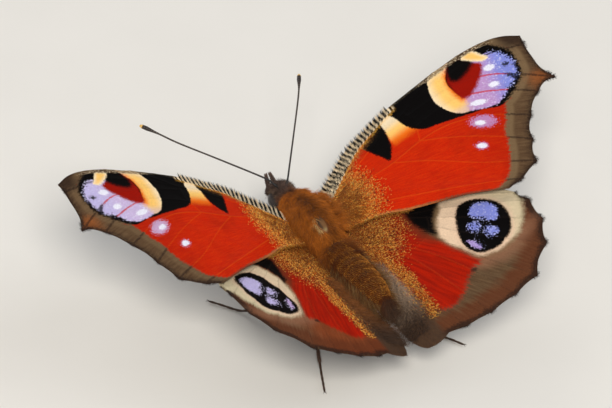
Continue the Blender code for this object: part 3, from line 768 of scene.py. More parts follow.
@dataclass
class Forewing(WingForm):
    """The front pair, with the eye of blue and yellow near the tip."""

    kind: str = "forewing"
    hinge: Triple = (3.39, -2.80, 0.80)
    dihedral: float = 20.5
    pitch: float = 11.4
    root: tuple = ((-1.3, 0.3), (-1.5, 5.6))
    costa: Points = (
        (1.9, -1.2), (3.6, -2.0), (5.8, -2.85), (8.7, -3.4), (12.0, -3.9), (15.0, -4.1), (19.4, -4.4),
        (23.6, -4.4), (27.2, -3.7), (29.35, -2.45))
    margin: tuple = (((28.8, 0.6), 0.10), ((29.4, 4.2), 0.35), ((26.6, 4.8), 0.45), ((24.1, 6.9), 0.30),
                     ((22.3, 9.7), 0.35), ((20.9, 12.4), 0.30), ((17.9, 13.6), 0.15), ((16.0, 13.9), 0.05))
    trail: Points = ((12.0, 11.8), (9.0, 10.3), (6.0, 8.7), (3.0, 7.0))
    veins: tuple = (
        ((0.0, 1.0), (4.0, -1.0), (9.0, -2.5), (15.0, -3.9)),
        ((0.0, 2.1), (5.0, 0.0), (9.5, -1.4), (12.9, -2.1), (17.0, -2.9), (21.5, -3.0), (26.0, -3.9)),
        ((12.9, -2.1), (15.5, -3.2), (18.6, -4.35)),
        ((17.0, -2.9), (19.5, -3.6), (22.0, -4.4)),
        ((21.5, -3.0), (25.0, -2.5), (29.2, -1.2)),
        ((12.9, -1.5), (17.5, -1.4), (22.4, -0.6), (25.3, 1.0), (29.2, 4.1)),
        ((12.9, 0.4), (16.5, 0.1), (20.3, 0.7), (23.8, 2.5), (26.5, 4.7)),
        ((0.0, 2.9), (4.5, 2.5), (8.1, 2.6), (12.1, 2.2), (16.0, 2.5), (20.0, 4.1), (24.0, 6.8)),
        ((12.1, 2.2), (15.0, 4.0), (18.2, 6.3), (22.2, 9.6)),
        ((8.1, 2.6), (10.5, 4.4), (12.5, 6.1), (16.0, 9.2), (20.8, 12.3)),
        ((12.9, -2.1), (13.1, -0.6), (12.9, 0.4), (12.1, 2.2)),
        ((0.2, 3.9), (5.0, 6.4), (11.0, 9.9), (17.8, 13.4)))
    length: float = 30.8
    arch: float = 1.07
    washout: float = 0.009
    trail_lift: float = 0.35
    droop: float = 0.55          # how far the hind edge hangs near the body, on to the hindwing
    ground: Points = (
        (17.5, -4.72), (20.5, -4.5), (23.6, -4.1), (25.5, -3.6), (26.8, -2.1), (27.25, -1.1), (27.0, 0.5),
        (26.5, 1.7), (25.3, 2.6), (23.9, 3.4), (22.6, 3.9), (22.3, 4.5), (21.5, 5.6), (20.4, 7.0),
        (19.7, 8.5), (19.0, 9.8), (18.0, 11.2), (16.8, 12.4), (15.2, 13.1), (13.4, 12.9), (10.0, 11.4),
        (5.0, 9.0), (-3.0, 7.0), (-3.0, -3.0), (5.0, -6.0), (12.0, -6.0))
    eye_field: Points = (
        (18.2, -4.5), (20.5, -4.6), (23.8, -4.2), (25.7, -3.7), (27.0, -2.2), (27.45, -1.1), (27.5, 0.6),
        (27.1, 1.8), (25.8, 2.8), (24.2, 3.4), (22.7, 3.8), (21.6, 3.7), (20.0, 2.9), (18.7, 2.1),
        (18.0, 1.4), (18.7, -1.0), (18.9, -3.0))
    blue: Points = (
        (23.6, -3.0), (24.5, -2.9), (25.3, -2.75), (26.0, -2.3), (26.6, -1.5), (26.9, -0.6), (26.85, 0.3),
        (26.5, 1.1), (26.0, 1.8), (25.1, 2.3), (24.2, 2.55), (23.2, 3.15), (21.8, 3.55), (20.0, 3.0),
        (18.5, 2.2), (17.9, 1.3), (19.0, 0.4), (21.5, -1.0), (22.5, -2.6))
    crescent: Points = (
        (18.3, -4.45), (17.4, -3.7), (16.75, -2.4), (16.45, -1.0), (16.75, 0.4), (17.4, 1.6), (18.3, 2.3),
        (19.2, 2.5), (20.3, 2.4), (20.6, 1.6), (19.9, 0.9), (19.3, 0.4), (18.9, -1.4), (19.2, -2.7),
        (20.0, -3.6), (20.7, -4.5))
    pupil: Points = (
        (20.6, -4.3), (21.6, -4.4), (22.3, -3.6), (22.9, -2.7), (23.6, -2.05), (23.2, -1.2), (22.4, -0.5),
        (21.4, 0.2), (20.3, 0.75), (19.3, 0.7), (19.0, -0.1), (19.0, -1.3), (19.2, -2.4), (19.8, -3.5))
    pupil_core: Points = (
        (20.7, -4.4), (21.6, -4.5), (22.3, -3.6), (22.9, -2.8), (22.3, -2.4), (21.3, -2.0), (20.2, -1.8),
        (19.6, -2.3), (19.9, -3.4))
    second: Points = (
        (22.1, -3.85), (22.8, -4.15), (23.7, -4.0), (24.3, -3.0), (24.8, -2.25), (24.0, -2.1),
        (23.1, -2.65), (22.5, -3.2))
    black: Points = (
        (11.3, -3.8), (11.8, -2.6), (12.1, -1.0), (12.7, 0.4), (13.7, 1.15), (14.7, 1.4), (16.1, 1.85),
        (17.8, 2.35), (19.6, 2.9), (19.9, 2.6), (18.7, 1.8), (17.9, 1.1), (17.2, 0.2), (16.9, -0.9),
        (17.1, -2.2), (17.8, -3.4), (18.6, -4.6), (14.5, -4.6))
    cream: Points = (
        (9.6, -3.2), (11.5, -3.9), (12.4, -2.4), (12.8, -0.8), (13.3, 0.8), (12.2, 1.5), (10.8, 1.1),
        (9.6, 1.0), (9.6, -0.9), (9.6, -2.2))
    bar: Points = (
        (6.8, -1.7), (8.3, -2.3), (9.9, -3.0), (9.95, -1.9), (9.75, -0.9), (9.3, 0.5), (8.6, 1.5),
        (8.05, 2.0), (7.7, 1.2), (7.3, 0.2), (6.9, -0.8))
    spots: tuple = (((24.0, -1.0), (0.68, 0.42), 10.0), ((23.15, 1.1), (0.62, 0.38), 15.0),
                    ((20.35, 2.1), (1.0, 0.40), 21.0), ((18.85, 4.45), (0.66, 0.33), 31.0),
                    ((17.15, 7.1), (0.60, 0.36), 31.0))
    halos: tuple = (((19.2, 4.5), (1.65, 0.92), 31.0), ((17.15, 7.1), (0.75, 0.50), 31.0))
    field_dots: tuple = (((25.8, -0.3), (0.42, 0.30), 0.0), ((25.5, 1.45), (0.75, 0.26), 55.0),
                         ((26.6, 0.5), (0.40, 0.20), 80.0))

    def height(self, plan: Array) -> Array:
        """Arched along the span, twisted down outwards, the hind edge up far out and down near the body."""
        span, chord = plan.T
        share = span / self.length
        behind = chord - 0.62 * span
        trail = smooth(behind, 1.2, 4.2) * smooth(span, 4.0, 12.0)
        hang = smooth(behind, 2.0, 5.2) * smooth(span, 13.5, 6.0)
        twist = -self.washout * (span - 0.52 * self.length) * chord
        return self.arch * 4.0 * share * (1.0 - share) + twist + self.trail_lift * trail - self.droop * hang

    def strip_depth(self, span: Array) -> Array:
        """How deep the black and cream strip of the front edge reaches: it narrows evenly outwards."""
        return 1.95 - 0.1 * span

    def markings(self, plan: Array) -> dict[str, Array]:
        """Measures of the forewing's markings, and the places along its edges."""
        front = curve_through([self.root[0], *self.costa], 60)
        costa, run = path_distance(plan, front)
        edge, _ = path_distance(plan, self.margin_line())
        eye_veins = [curve_through(self.veins[k], 24) for k in (5, 6)]
        outlines = ("eye_field", "blue", "crescent", "pupil", "pupil_core", "second", "cream", "bar")
        return {
            **{name: depth_inside(plan, getattr(self, name)) for name in outlines},
            "black": depth_inside(plan, self.black, 140), "margin": -depth_inside(plan, self.ground, 200),
            "edge": edge, "costa": costa, "run": run, "span": plan[:, 0], "chord": plan[:, 1],
            "spot": np.max([oval_depth(plan, *spot) for spot in self.spots], axis=0),
            "halo": np.max([oval_depth(plan, *halo) for halo in self.halos], axis=0),
            "tip_vein": path_distance(plan, curve_through(self.veins[4], 24))[0],
            "dot": np.max([oval_depth(plan, *dot) for dot in self.field_dots], axis=0),
            "eye_vein": np.min([path_distance(plan, vein)[0] for vein in eye_veins], axis=0),
            "base": 5.9 - np.hypot(plan[:, 0], (plan[:, 1] - 3.0) * 0.85),
            "strip": self.strip_depth(plan[:, 0]) - costa,
            "hem": path_distance(plan, curve_through([self.margin[-1][0], *self.trail, self.root[1]], 60))[0]}


@dataclass
class Hindwing(WingForm):
    """The rear pair, with the round blue eye near the front corner."""

    kind: str = "hindwing"
    hinge: Triple = (2.60, 2.50, -1.50)
    dihedral: float = 22.9
    pitch: float = 3.6
    root: tuple = ((-1.0, 0.3), (-1.2, 3.2))
    costa: Points = ((2.0, -1.5), (5.0, -1.9), (9.0, -0.4), (13.5, 3.2), (16.6, 6.4), (17.9, 8.8))
    margin: tuple = (((18.4, 11.3), 0.15), ((17.9, 14.6), 0.20), ((16.2, 17.7), 0.25), ((12.8, 20.6), 0.45),
                     ((9.6, 21.0), 0.30), ((6.2, 21.1), 0.25), ((3.0, 20.6), 0.20), ((1.0, 19.8), 0.05),
                     ((-1.9, 19.8), -0.35), ((-2.7, 18.1), -0.10))
    trail: Points = ((-2.75, 15.5), (-2.4, 12.8), (-1.7, 9.0), (-1.3, 6.0))
    veins: tuple = (
        ((0.2, 0.5), (3.0, -0.4), (7.0, 0.4), (12.5, 4.1), (17.7, 8.8)),
        ((1.4, 1.0), (5.0, 2.0), (9.5, 4.4), (14.0, 7.6), (18.2, 11.3)),
        ((6.0, 2.5), (8.5, 5.0), (12.8, 9.2), (17.7, 14.5)),
        ((8.0, 6.1), (11.5, 11.5), (16.0, 17.5)),
        ((6.9, 7.2), (9.3, 13.0), (12.7, 20.5)),
        ((0.2, 1.6), (2.2, 4.6), (5.0, 7.6), (7.6, 13.7), (9.5, 20.9)),
        ((3.5, 6.1), (4.9, 13.0), (6.1, 21.2)),
        ((5.0, 7.6), (6.9, 7.2), (8.0, 6.1), (8.5, 5.0)),
        ((0.2, 2.4), (1.3, 9.0), (2.4, 15.5), (2.9, 20.7)))
    rows: int = 180
    columns: int = 160
    tuck: float = 0.6
    gutter: float = 0.15         # how far the inner edge bends down, beside the abdomen
    pleat: float = 0.09
    left_lift: float = 0.45
    ring: Points = (
        (11.5, 0.5), (10.2, 4.0), (8.4, 6.3), (7.7, 7.8), (7.9, 10.0), (8.7, 12.1), (9.4, 13.9),
        (11.0, 14.8), (12.6, 15.0), (14.2, 14.7), (15.8, 13.7), (17.2, 12.0), (18.1, 9.8), (18.3, 7.0),
        (15.5, 2.5))
    disc: Points = (
        (12.2, 6.2), (13.4, 6.2), (14.5, 7.0), (15.3, 8.5), (15.5, 10.4), (15.0, 12.1), (14.0, 13.3),
        (12.5, 13.9), (11.2, 13.8), (10.1, 13.3), (9.5, 12.1), (9.6, 10.4), (10.3, 8.6), (11.2, 7.1))
    blobs: tuple = (
        ((12.4, 7.7), (13.4, 7.1), (14.5, 7.6), (15.0, 9.0), (14.7, 10.3), (14.1, 10.9), (13.5, 10.5),
         (12.9, 9.6), (12.2, 8.5)),
        ((10.9, 9.8), (11.4, 9.1), (12.1, 9.5), (12.3, 10.2), (11.6, 10.7)),
        ((12.6, 10.8), (13.5, 11.8), (13.2, 12.5), (12.3, 12.5), (12.0, 11.7)),
        ((9.8, 10.9), (10.4, 11.5), (10.7, 12.8), (10.3, 12.9), (9.9, 12.0)))
    dark: Points = (
        (8.0, 1.6), (10.9, 3.2), (9.8, 4.6), (8.8, 5.7), (8.2, 6.8), (8.0, 7.7), (7.4, 7.1), (7.1, 6.0),
        (6.8, 4.6), (6.9, 3.0))
    red: Points = (
        (2.0, -0.5), (5.5, 0.5), (7.6, 2.6), (8.6, 4.2), (7.4, 6.5), (7.7, 8.4), (8.4, 10.4), (9.0, 12.6),
        (9.4, 14.3), (8.6, 14.4), (7.6, 14.9), (6.4, 15.8), (4.9, 16.9), (3.2, 17.2), (1.9, 16.3),
        (1.3, 14.0), (0.9, 11.0), (0.3, 8.0), (-1.5, 5.8), (-2.0, 2.0))
    gold_band: Points = ((0.6, 4.0), (1.2, 7.0), (1.7, 9.8), (1.4, 12.5), (1.2, 15.8))

    def height(self, plan: Array) -> Array:
        """Flat, and dipped where the forewing lies over it."""
        span, chord = plan.T
        cover = smooth(3.0 - (chord - (0.663 * span - 3.3)), 0.0, 3.5)
        return -self.tuck * smooth(span, 6.0, 14.0) * cover - self.gutter * smooth(-span, 0.2, 2.2)

    def markings(self, plan: Array) -> dict[str, Array]:
        """Measures of the hindwing's markings."""
        edge, _ = path_distance(plan, self.margin_line())
        band, _ = path_distance(plan, curve_through(self.gold_band, 40))
        return {
            "ring": depth_inside(plan, self.ring, 140), "disc": depth_inside(plan, self.disc, 140),
            "blob": np.max([depth_inside(plan, blob, 60) for blob in self.blobs], axis=0),
            "dark": depth_inside(plan, self.dark), "red": depth_inside(plan, self.red, 140), "edge": edge,
            "span": plan[:, 0], "chord": plan[:, 1], "band": band,
            "base": 8.4 - np.hypot(plan[:, 0] + 0.4, plan[:, 1] * 0.85),
            "fold": 1.5 - plan[:, 0] - 0.5 * smooth(plan[:, 1], 12.0, 18.0),
            "speck": oval_depth(plan, (8.1, 14.8), (0.42, 0.3), 20.0)}


class WingPaint:
    """Finishes of the wings' scales: two upper faces and the bark-like lower face."""

    def __init__(self, colours: WingColours) -> None:
        self.colours = colours

    def start(self, name: str) -> tuple[Paint, Value, Value, Value]:
        """A material with what all wings share.

        Args:
            name: name of the material.

        Returns:
            The material, fine grain about 0, streaks along the wing and broad patches, both 0 to 1.
        """
        paint = Paint(name, Roughness=0.72, Specular_IOR_Level=0.05)
        grain = paint.noise(paint.place(), 7500.0, 1.0) - 0.5
        streak = paint.noise(paint.lie(0.45, 5.0), 1.0, 2.0)
        broad = paint.noise(paint.place(), 420.0, 2.0)
        return paint, grain, streak, broad

    def left_share(self, paint: Paint, blend: float = 0.004) -> Value:
        """1 on the left side and 0 on the right, blended over the middle: the mask of painted light that
        differs between the two sides.
        """
        return paint.node("ShaderNodeSeparateXYZ", {}, {0: paint.place()}).rise(-blend, blend)

    def lit_lilac_share(self, paint: Paint) -> Value:
        """Painted light: share of pale lilac in the blue scales, high on the left wings, which face the
        light.
        """
        return self.left_share(paint) * 0.75

    def relief(self, paint: Paint) -> Value:
        """Bump of the rows of scales: fine cells over short streaks."""
        cells = paint.node("ShaderNodeTexVoronoi", {}, {"Vector": paint.lie(8.0, 13.0), "Scale": 1.0})
        return cells * 0.6 + paint.noise(paint.lie(2.0, 11.0), 1.0, 2.0) * 0.6

    def forewing_upper(self) -> Material:
        """Red ground with black, cream and yellow bars, the blue eye, white spots and a brown margin."""
        hue = self.colours
        paint, grain, streak, broad = self.start("forewing_upper")
        fuzz = grain * 0.55
        vein = paint.number("vein")
        span, chord, costa = paint.number("span"), paint.number("chord"), paint.number("costa")

        paint.colour = paint.mix(streak.rise(0.3, 0.75) * 0.6, hue.red, hue.ember)
        paint.lay(broad.rise(0.45, 0.8) * 0.3, hue.deep_red)
        paint.lay((span + streak).rise(14.0, 21.0) * 0.35, hue.deep_red)
        paint.lay(vein.rise(0.12, 0.02) * 0.18, hue.orange)
        base = paint.number("base") + (streak - 0.5) * 3.0 + grain * 2.0
        glow = paint.mix(grain.rise(-0.1, 0.2), hue.copper, hue.amber)
        paint.lay(base.rise(0.2, 4.2) * 0.85, glow)
        self.cross_bars(paint, fuzz, chord)
        self.eye(paint, fuzz, span, chord)
        self.white_spots(paint, fuzz)
        self.brown_margin(paint, fuzz, streak, span)
        self.front_edge(paint, grain, span, costa)
        hem = (paint.number("hem") + fuzz * 0.6).rise(0.32, 0.10) * 0.7
        paint.lay(hem, paint.mix(span.rise(11.0, 6.0), hue.brown, hue.hem))
        return paint.finish(paint.shade(paint.colour, 0.92 + grain * 0.4 + (streak - 0.5) * 0.08),
                            height=self.relief(paint), depth=0.008)

    def cross_bars(self, paint: Paint, fuzz: Value, chord: Value) -> None:
        """The cream patch between two black ones, as cell bar and broad bar."""
        hue = self.colours
        patch = paint.mix((chord + fuzz).rise(-2.2, -0.9), hue.cream, hue.yellow)
        patch = paint.mix((chord + fuzz).rise(-1.0, 0.3), patch, hue.orange)
        share = (paint.number("cream") + fuzz * 1.2).rise(-0.15, 0.35) * (chord + fuzz * 2.0).rise(1.2, 0.0)
        paint.lay(share, patch)
        paint.lay((paint.number("bar") + fuzz).rise(-0.12, 0.08), hue.black)
        paint.lay((paint.number("black") + fuzz * 0.7).rise(-0.2, -0.06), hue.black)

    def eye(self, paint: Paint, fuzz: Value, span: Value, chord: Value) -> None:
        """The eye near the tip: a black field, lilac to blue scales, a yellow crescent, a dark pupil."""
        hue = self.colours
        paint.lay((paint.number("eye_field") + fuzz * 0.5).rise(-0.16, -0.04), hue.black)
        scales = paint.noise(paint.place(), 5200.0, 1.0)
        far = (span + chord * 0.3 + fuzz * 2.0).rise(22.4, 25.2)
        tone = paint.mix(far, hue.lilac, hue.blue)
        # painted light: the eye's blue scales turn pale lilac on the left wing, which faces the light
        tone = paint.mix(self.lit_lilac_share(paint), tone, hue.pale_lilac)
        tone = paint.mix(scales.rise(0.58, 0.68) * 0.5, tone, hue.white)
        loose = (scales - 0.5) * (0.5 + far * 1.3)
        paint.lay((paint.number("blue") + loose - far * 0.12).rise(-0.04, 0.10), tone)
        thread = paint.mix(span.rise(24.4, 25.6), hue.red, hue.black)
        inside = paint.number("blue").rise(-0.1, 0.2)
        vein = (paint.number("eye_vein") + fuzz * 0.5).rise(0.15, 0.04) * inside
        paint.lay(vein * 0.85, thread)
        tip_vein = (paint.number("tip_vein") + fuzz * 0.6).rise(0.15, 0.05) * inside
        paint.lay(tip_vein * 0.8, hue.black)
        paint.lay((paint.number("dot") + loose * 0.5).rise(-0.05, 0.1) * 0.9, hue.black)
        moon = paint.mix((paint.number("pupil") + fuzz).rise(-2.7, -1.1), hue.cream, hue.yellow)
        moon = paint.mix((paint.number("pupil") + fuzz * 2.0).rise(-0.75, 0.05), moon, hue.orange)
        moon = paint.mix((chord + fuzz).rise(0.9, 2.0), moon, hue.blush)
        moon = paint.mix((chord + fuzz).rise(-3.0, -4.2) * 0.6, moon, hue.cream)
        crescent = (paint.number("crescent") + fuzz * 0.5).rise(-0.06, 0.08)
        crescent = crescent * (span + chord * 0.4 + fuzz * 3.0).rise(20.4, 19.3)
        paint.lay(crescent, moon)
        pupil = paint.mix((paint.number("pupil_core") + fuzz * 1.6).rise(-0.5, 0.2), hue.blood, hue.black)
        paint.lay((paint.number("pupil") + fuzz * 1.6).rise(-0.18, 0.2), pupil)
        pale = paint.mix((paint.number("second") + fuzz).rise(0.0, 0.5), hue.cream, hue.yellow)
        paint.lay((paint.number("second") + fuzz * 0.9).rise(-0.08, 0.12), pale)

    def white_spots(self, paint: Paint, fuzz: Value) -> None:
        """Five white spots in a row, the last two in a halo of loose lilac scales."""
        hue = self.colours
        loose = paint.noise(paint.place(), 6000.0, 1.0)
        # painted light: the halo's lilac is paler on the left wing, which faces the light
        tone = paint.mix(self.lit_lilac_share(paint), hue.lilac, hue.pale_lilac)
        halo = (paint.number("halo") + (loose - 0.5) * 1.3).rise(-0.06, 0.26)
        paint.lay(halo * 0.8, tone)
        paint.lay((paint.number("spot") + fuzz * 0.6).rise(-0.08, 0.12), hue.white)

    def brown_margin(self, paint: Paint, fuzz: Value, streak: Value, span: Value) -> None:
        """Brown border: a tan line along the ground, rusty teeth, dark veins and rim, a darker tip."""
        hue = self.colours
        margin, edge = paint.number("margin"), paint.number("edge")
        brown = paint.mix(streak.rise(0.3, 0.7) * 0.25, hue.brown, hue.tan)
        line = (margin + fuzz + (streak - 0.5) * 0.4).rise(1.15, 0.7)
        # painted light: the tan line is laid weaker on the left wing than on the right, to suit how the light
        # falls
        brown = paint.mix(line * (0.6 - self.left_share(paint) * 0.3), brown, hue.tan)
        tip = (span + fuzz * 2.0).rise(25.6, 28.0)
        brown = paint.mix(tip * (paint.number("chord") + fuzz).rise(-0.8, -2.4) * 0.8, brown, hue.dark_brown)
        tooth = tip * (paint.number("chord") + fuzz * 2.0).rise(1.6, 3.2)
        brown = paint.mix(tooth * 0.8, brown, hue.rust)
        brown = paint.mix((edge + fuzz + streak * 0.5).rise(1.3, 0.3) * 0.5, brown, hue.dark_brown)
        brown = paint.mix((edge + fuzz).rise(0.4, 0.1) * 0.8, brown, hue.dark_brown)
        brown = paint.mix((paint.number("vein") + fuzz * 0.5).rise(0.2, 0.05) * 0.7, brown, hue.dark_brown)
        paint.lay((margin + fuzz * 1.6 + (streak - 0.5) * 0.6).rise(-0.16, 0.22), brown)

    def front_edge(self, paint: Paint, grain: Value, span: Value, costa: Value) -> None:
        """Front edge: black and cream bars across it near the body, fine cream specks further out."""
        hue = self.colours
        strip = paint.number("strip") + grain * 0.5
        near = span.rise(12.8, 12.0)
        wave = (paint.number("run") * (math.tau / BAR_PERIOD) + grain * 3.0 + costa * 1.2).math("SINE")
        bars = paint.mix(wave.rise(-0.25, 0.25), hue.black, hue.cream)
        beside = (strip + grain * 1.2).rise(-0.75, -0.15) * span.rise(10.0, 5.0)
        paint.lay(beside * 0.75, paint.mix(grain.rise(-0.1, 0.2), hue.copper, hue.olive))
        paint.lay((strip + grain * 0.6).rise(-0.20, -0.06) * near * 0.4, hue.gold)
        paint.lay(strip.rise(0.0, 0.2) * near, bars)
        far = (span + grain).rise(15.5, 17.5)
        specks = paint.noise(paint.lie(4.5, 14.0), 1.0, 0.0).rise(0.56, 0.66) * (far * 0.7 + 0.3)
        rim = (costa - far * 0.3 + grain * 0.3).rise(0.32, 0.14)
        rim = rim * span.rise(12.0, 12.8) * span.rise(27.0, 24.0)
        paint.lay(rim * 0.8, paint.mix(specks, paint.mix(far * 0.8, hue.black, hue.brown), hue.cream))

    def hindwing_upper(self) -> Material:
        """Brown wing with a red middle, a cream ring round a black disc with blue scales, a gold base."""
        hue = self.colours
        paint, grain, streak, broad = self.start("hindwing_upper")
        fuzz = grain * 0.6
        vein, edge, span = paint.number("vein"), paint.number("edge"), paint.number("span")
        ring, disc = paint.number("ring"), paint.number("disc")

        paint.colour = paint.mix(streak.rise(0.25, 0.75) * 0.35, hue.brown, hue.tan)
        # painted light: a copper cast over the left hindwing's inner half, to match how the light falls on
        # that side
        paint.lay(self.left_share(paint) * span.rise(14.0, 8.0) * 0.6, hue.copper)
        outer = (edge + (streak - 0.5) * 1.2 + (broad - 0.5)).rise(3.4, 1.8)
        paint.lay(outer * 0.75, hue.chestnut)
        paint.lay((edge + fuzz * 2.0 + (broad - 0.5)).rise(0.9, 0.25) * 0.85, hue.dark_brown)
        near = (ring + (broad - 0.5)).rise(-2.2, -0.2) * paint.number("chord").rise(12.5, 14.5)
        paint.lay(near * 0.7, hue.rose_brown)
        soft = paint.noise(paint.lie(0.2, 1.8), 1.0, 2.0)
        red = paint.mix(soft.rise(0.3, 0.7) * 0.5 + 0.1, hue.deep_red, hue.red)
        red = paint.mix(vein.rise(0.16, 0.03) * 0.4, red, hue.ember)
        dusky = (paint.number("dark") + fuzz + (broad - 0.5)).rise(-1.7, -0.2)
        red = paint.mix(dusky * 0.8, red, hue.chestnut)
        inside = (paint.number("red") + (streak - 0.5) * 1.2 + fuzz * 1.8).rise(-0.45, 0.45)
        paint.lay(inside, red)
        pale = paint.mix((ring + (broad - 0.5) * 1.2).rise(0.0, 0.8), hue.tan, hue.ring_cream)
        pale = paint.mix((span + (streak - 0.5)).rise(12.5, 16.0) * 0.7, pale, hue.straw)
        # painted light: the left ring is made strawier than the right, to match how the light falls on that
        # side
        pale = paint.mix(self.left_share(paint) * 0.4, pale, hue.straw)
        pale = paint.mix((disc + fuzz).rise(-1.0, -0.1) * 0.5, pale, hue.blush)
        pale = paint.mix((disc + fuzz).rise(-0.35, -0.05) * 0.5, pale, hue.chestnut)
        paint.lay((ring + fuzz * 1.3 + (streak - 0.5) * 0.8).rise(-0.3, 0.6), pale)
        paint.lay((paint.number("dark") + fuzz * 1.4 + (streak - 0.5) * 0.6).rise(-0.3, 0.3), hue.black)
        paint.lay((disc + fuzz * 1.2).rise(-0.24, -0.04), hue.black)
        loose = paint.noise(paint.place(), 5200.0, 1.0)
        # painted light: the disc's blue scales turn pale lilac on the left wing, which faces the light
        tone = paint.mix(self.lit_lilac_share(paint), hue.blue, hue.pale_lilac)
        tone = paint.mix(span.rise(11.2, 10.2) * 0.6, tone, hue.lilac)
        tone = paint.mix(loose.rise(0.56, 0.68) * 0.35, tone, hue.white)
        speckled = paint.number("chord").rise(8.6, 9.6) * span.rise(10.4, 11.0) * span.rise(13.6, 12.4)
        blob = paint.number("blob") + (loose - 0.5) * (1.1 + speckled * 1.9) - speckled * 0.12
        paint.lay(blob.rise(-0.06, 0.06) * disc.rise(0.1, 0.3), tone)
        paint.lay((paint.number("speck") + fuzz).rise(-0.1, 0.15) * 0.8, hue.dark_brown)
        golden = paint.mix(grain.rise(-0.1, 0.16), hue.dark_brown, hue.copper)
        base = (paint.number("base") + (streak - 0.5) * 3.0 + grain * 3.0).rise(0.2, 3.0)
        band = (paint.number("band") + (streak - 0.5) + grain * 2.0).rise(1.5, 0.3)
        paint.lay(base.most(band) * 0.75, golden)
        tail = (paint.number("chord") + fuzz * 2.0).rise(10.5, 16.5)
        # painted light: the fold is fox-coloured on the left and greyer on the right, to match how the light
        # falls on the two sides
        fold = paint.mix(self.left_share(paint, 0.0008), hue.fold, hue.fox_fold)
        fold = paint.mix(streak.rise(0.3, 0.7) * 0.4, paint.mix(tail, fold, hue.fold_end), hue.brown)
        hairy = (paint.number("fold") + fuzz + (streak - 0.5)).rise(-0.1, 0.7)
        paint.lay(hairy * paint.number("chord").rise(5.0, 9.0), fold)
        paint.lay((vein + fuzz * 0.5).rise(0.14, 0.04) * 0.2, hue.dark_brown)
        return paint.finish(paint.shade(paint.colour, 0.92 + grain * 0.45 + (streak - 0.5) * 0.1),
                            height=self.relief(paint), depth=0.008)

    def under(self, name: str) -> Material:
        """Lower face like charred bark: dark, with fine broken lines across the veins and a paler border."""
        hue = self.colours
        paint, grain, _, broad = self.start(name)
        lines = paint.noise(paint.lie(3.4, 0.7), 1.0, 4.0, 0.7)
        threads = paint.noise(paint.lie(7.0, 1.4), 1.0, 2.0, 0.6)
        edge = paint.number("edge") + (broad - 0.5) * 4.0 + (lines - 0.5) * 2.0
        paint.colour = paint.mix(edge.rise(6.5, 5.6) * 0.45, hue.bark, hue.bark_light)
        paint.lay(lines.rise(0.50, 0.56) * 0.75, hue.black)
        paint.lay(threads.rise(0.60, 0.68) * 0.35, hue.bark_light)
        paint.lay(edge.rise(1.1, 0.4) * 0.6, hue.black)
        paint.lay((paint.number("vein") + grain * 0.3).rise(0.2, 0.06) * 0.5, hue.bark_light)
        return paint.finish(paint.shade(paint.colour, 0.9 + grain * 0.8),
                            height=self.relief(paint), depth=0.012)


# Body

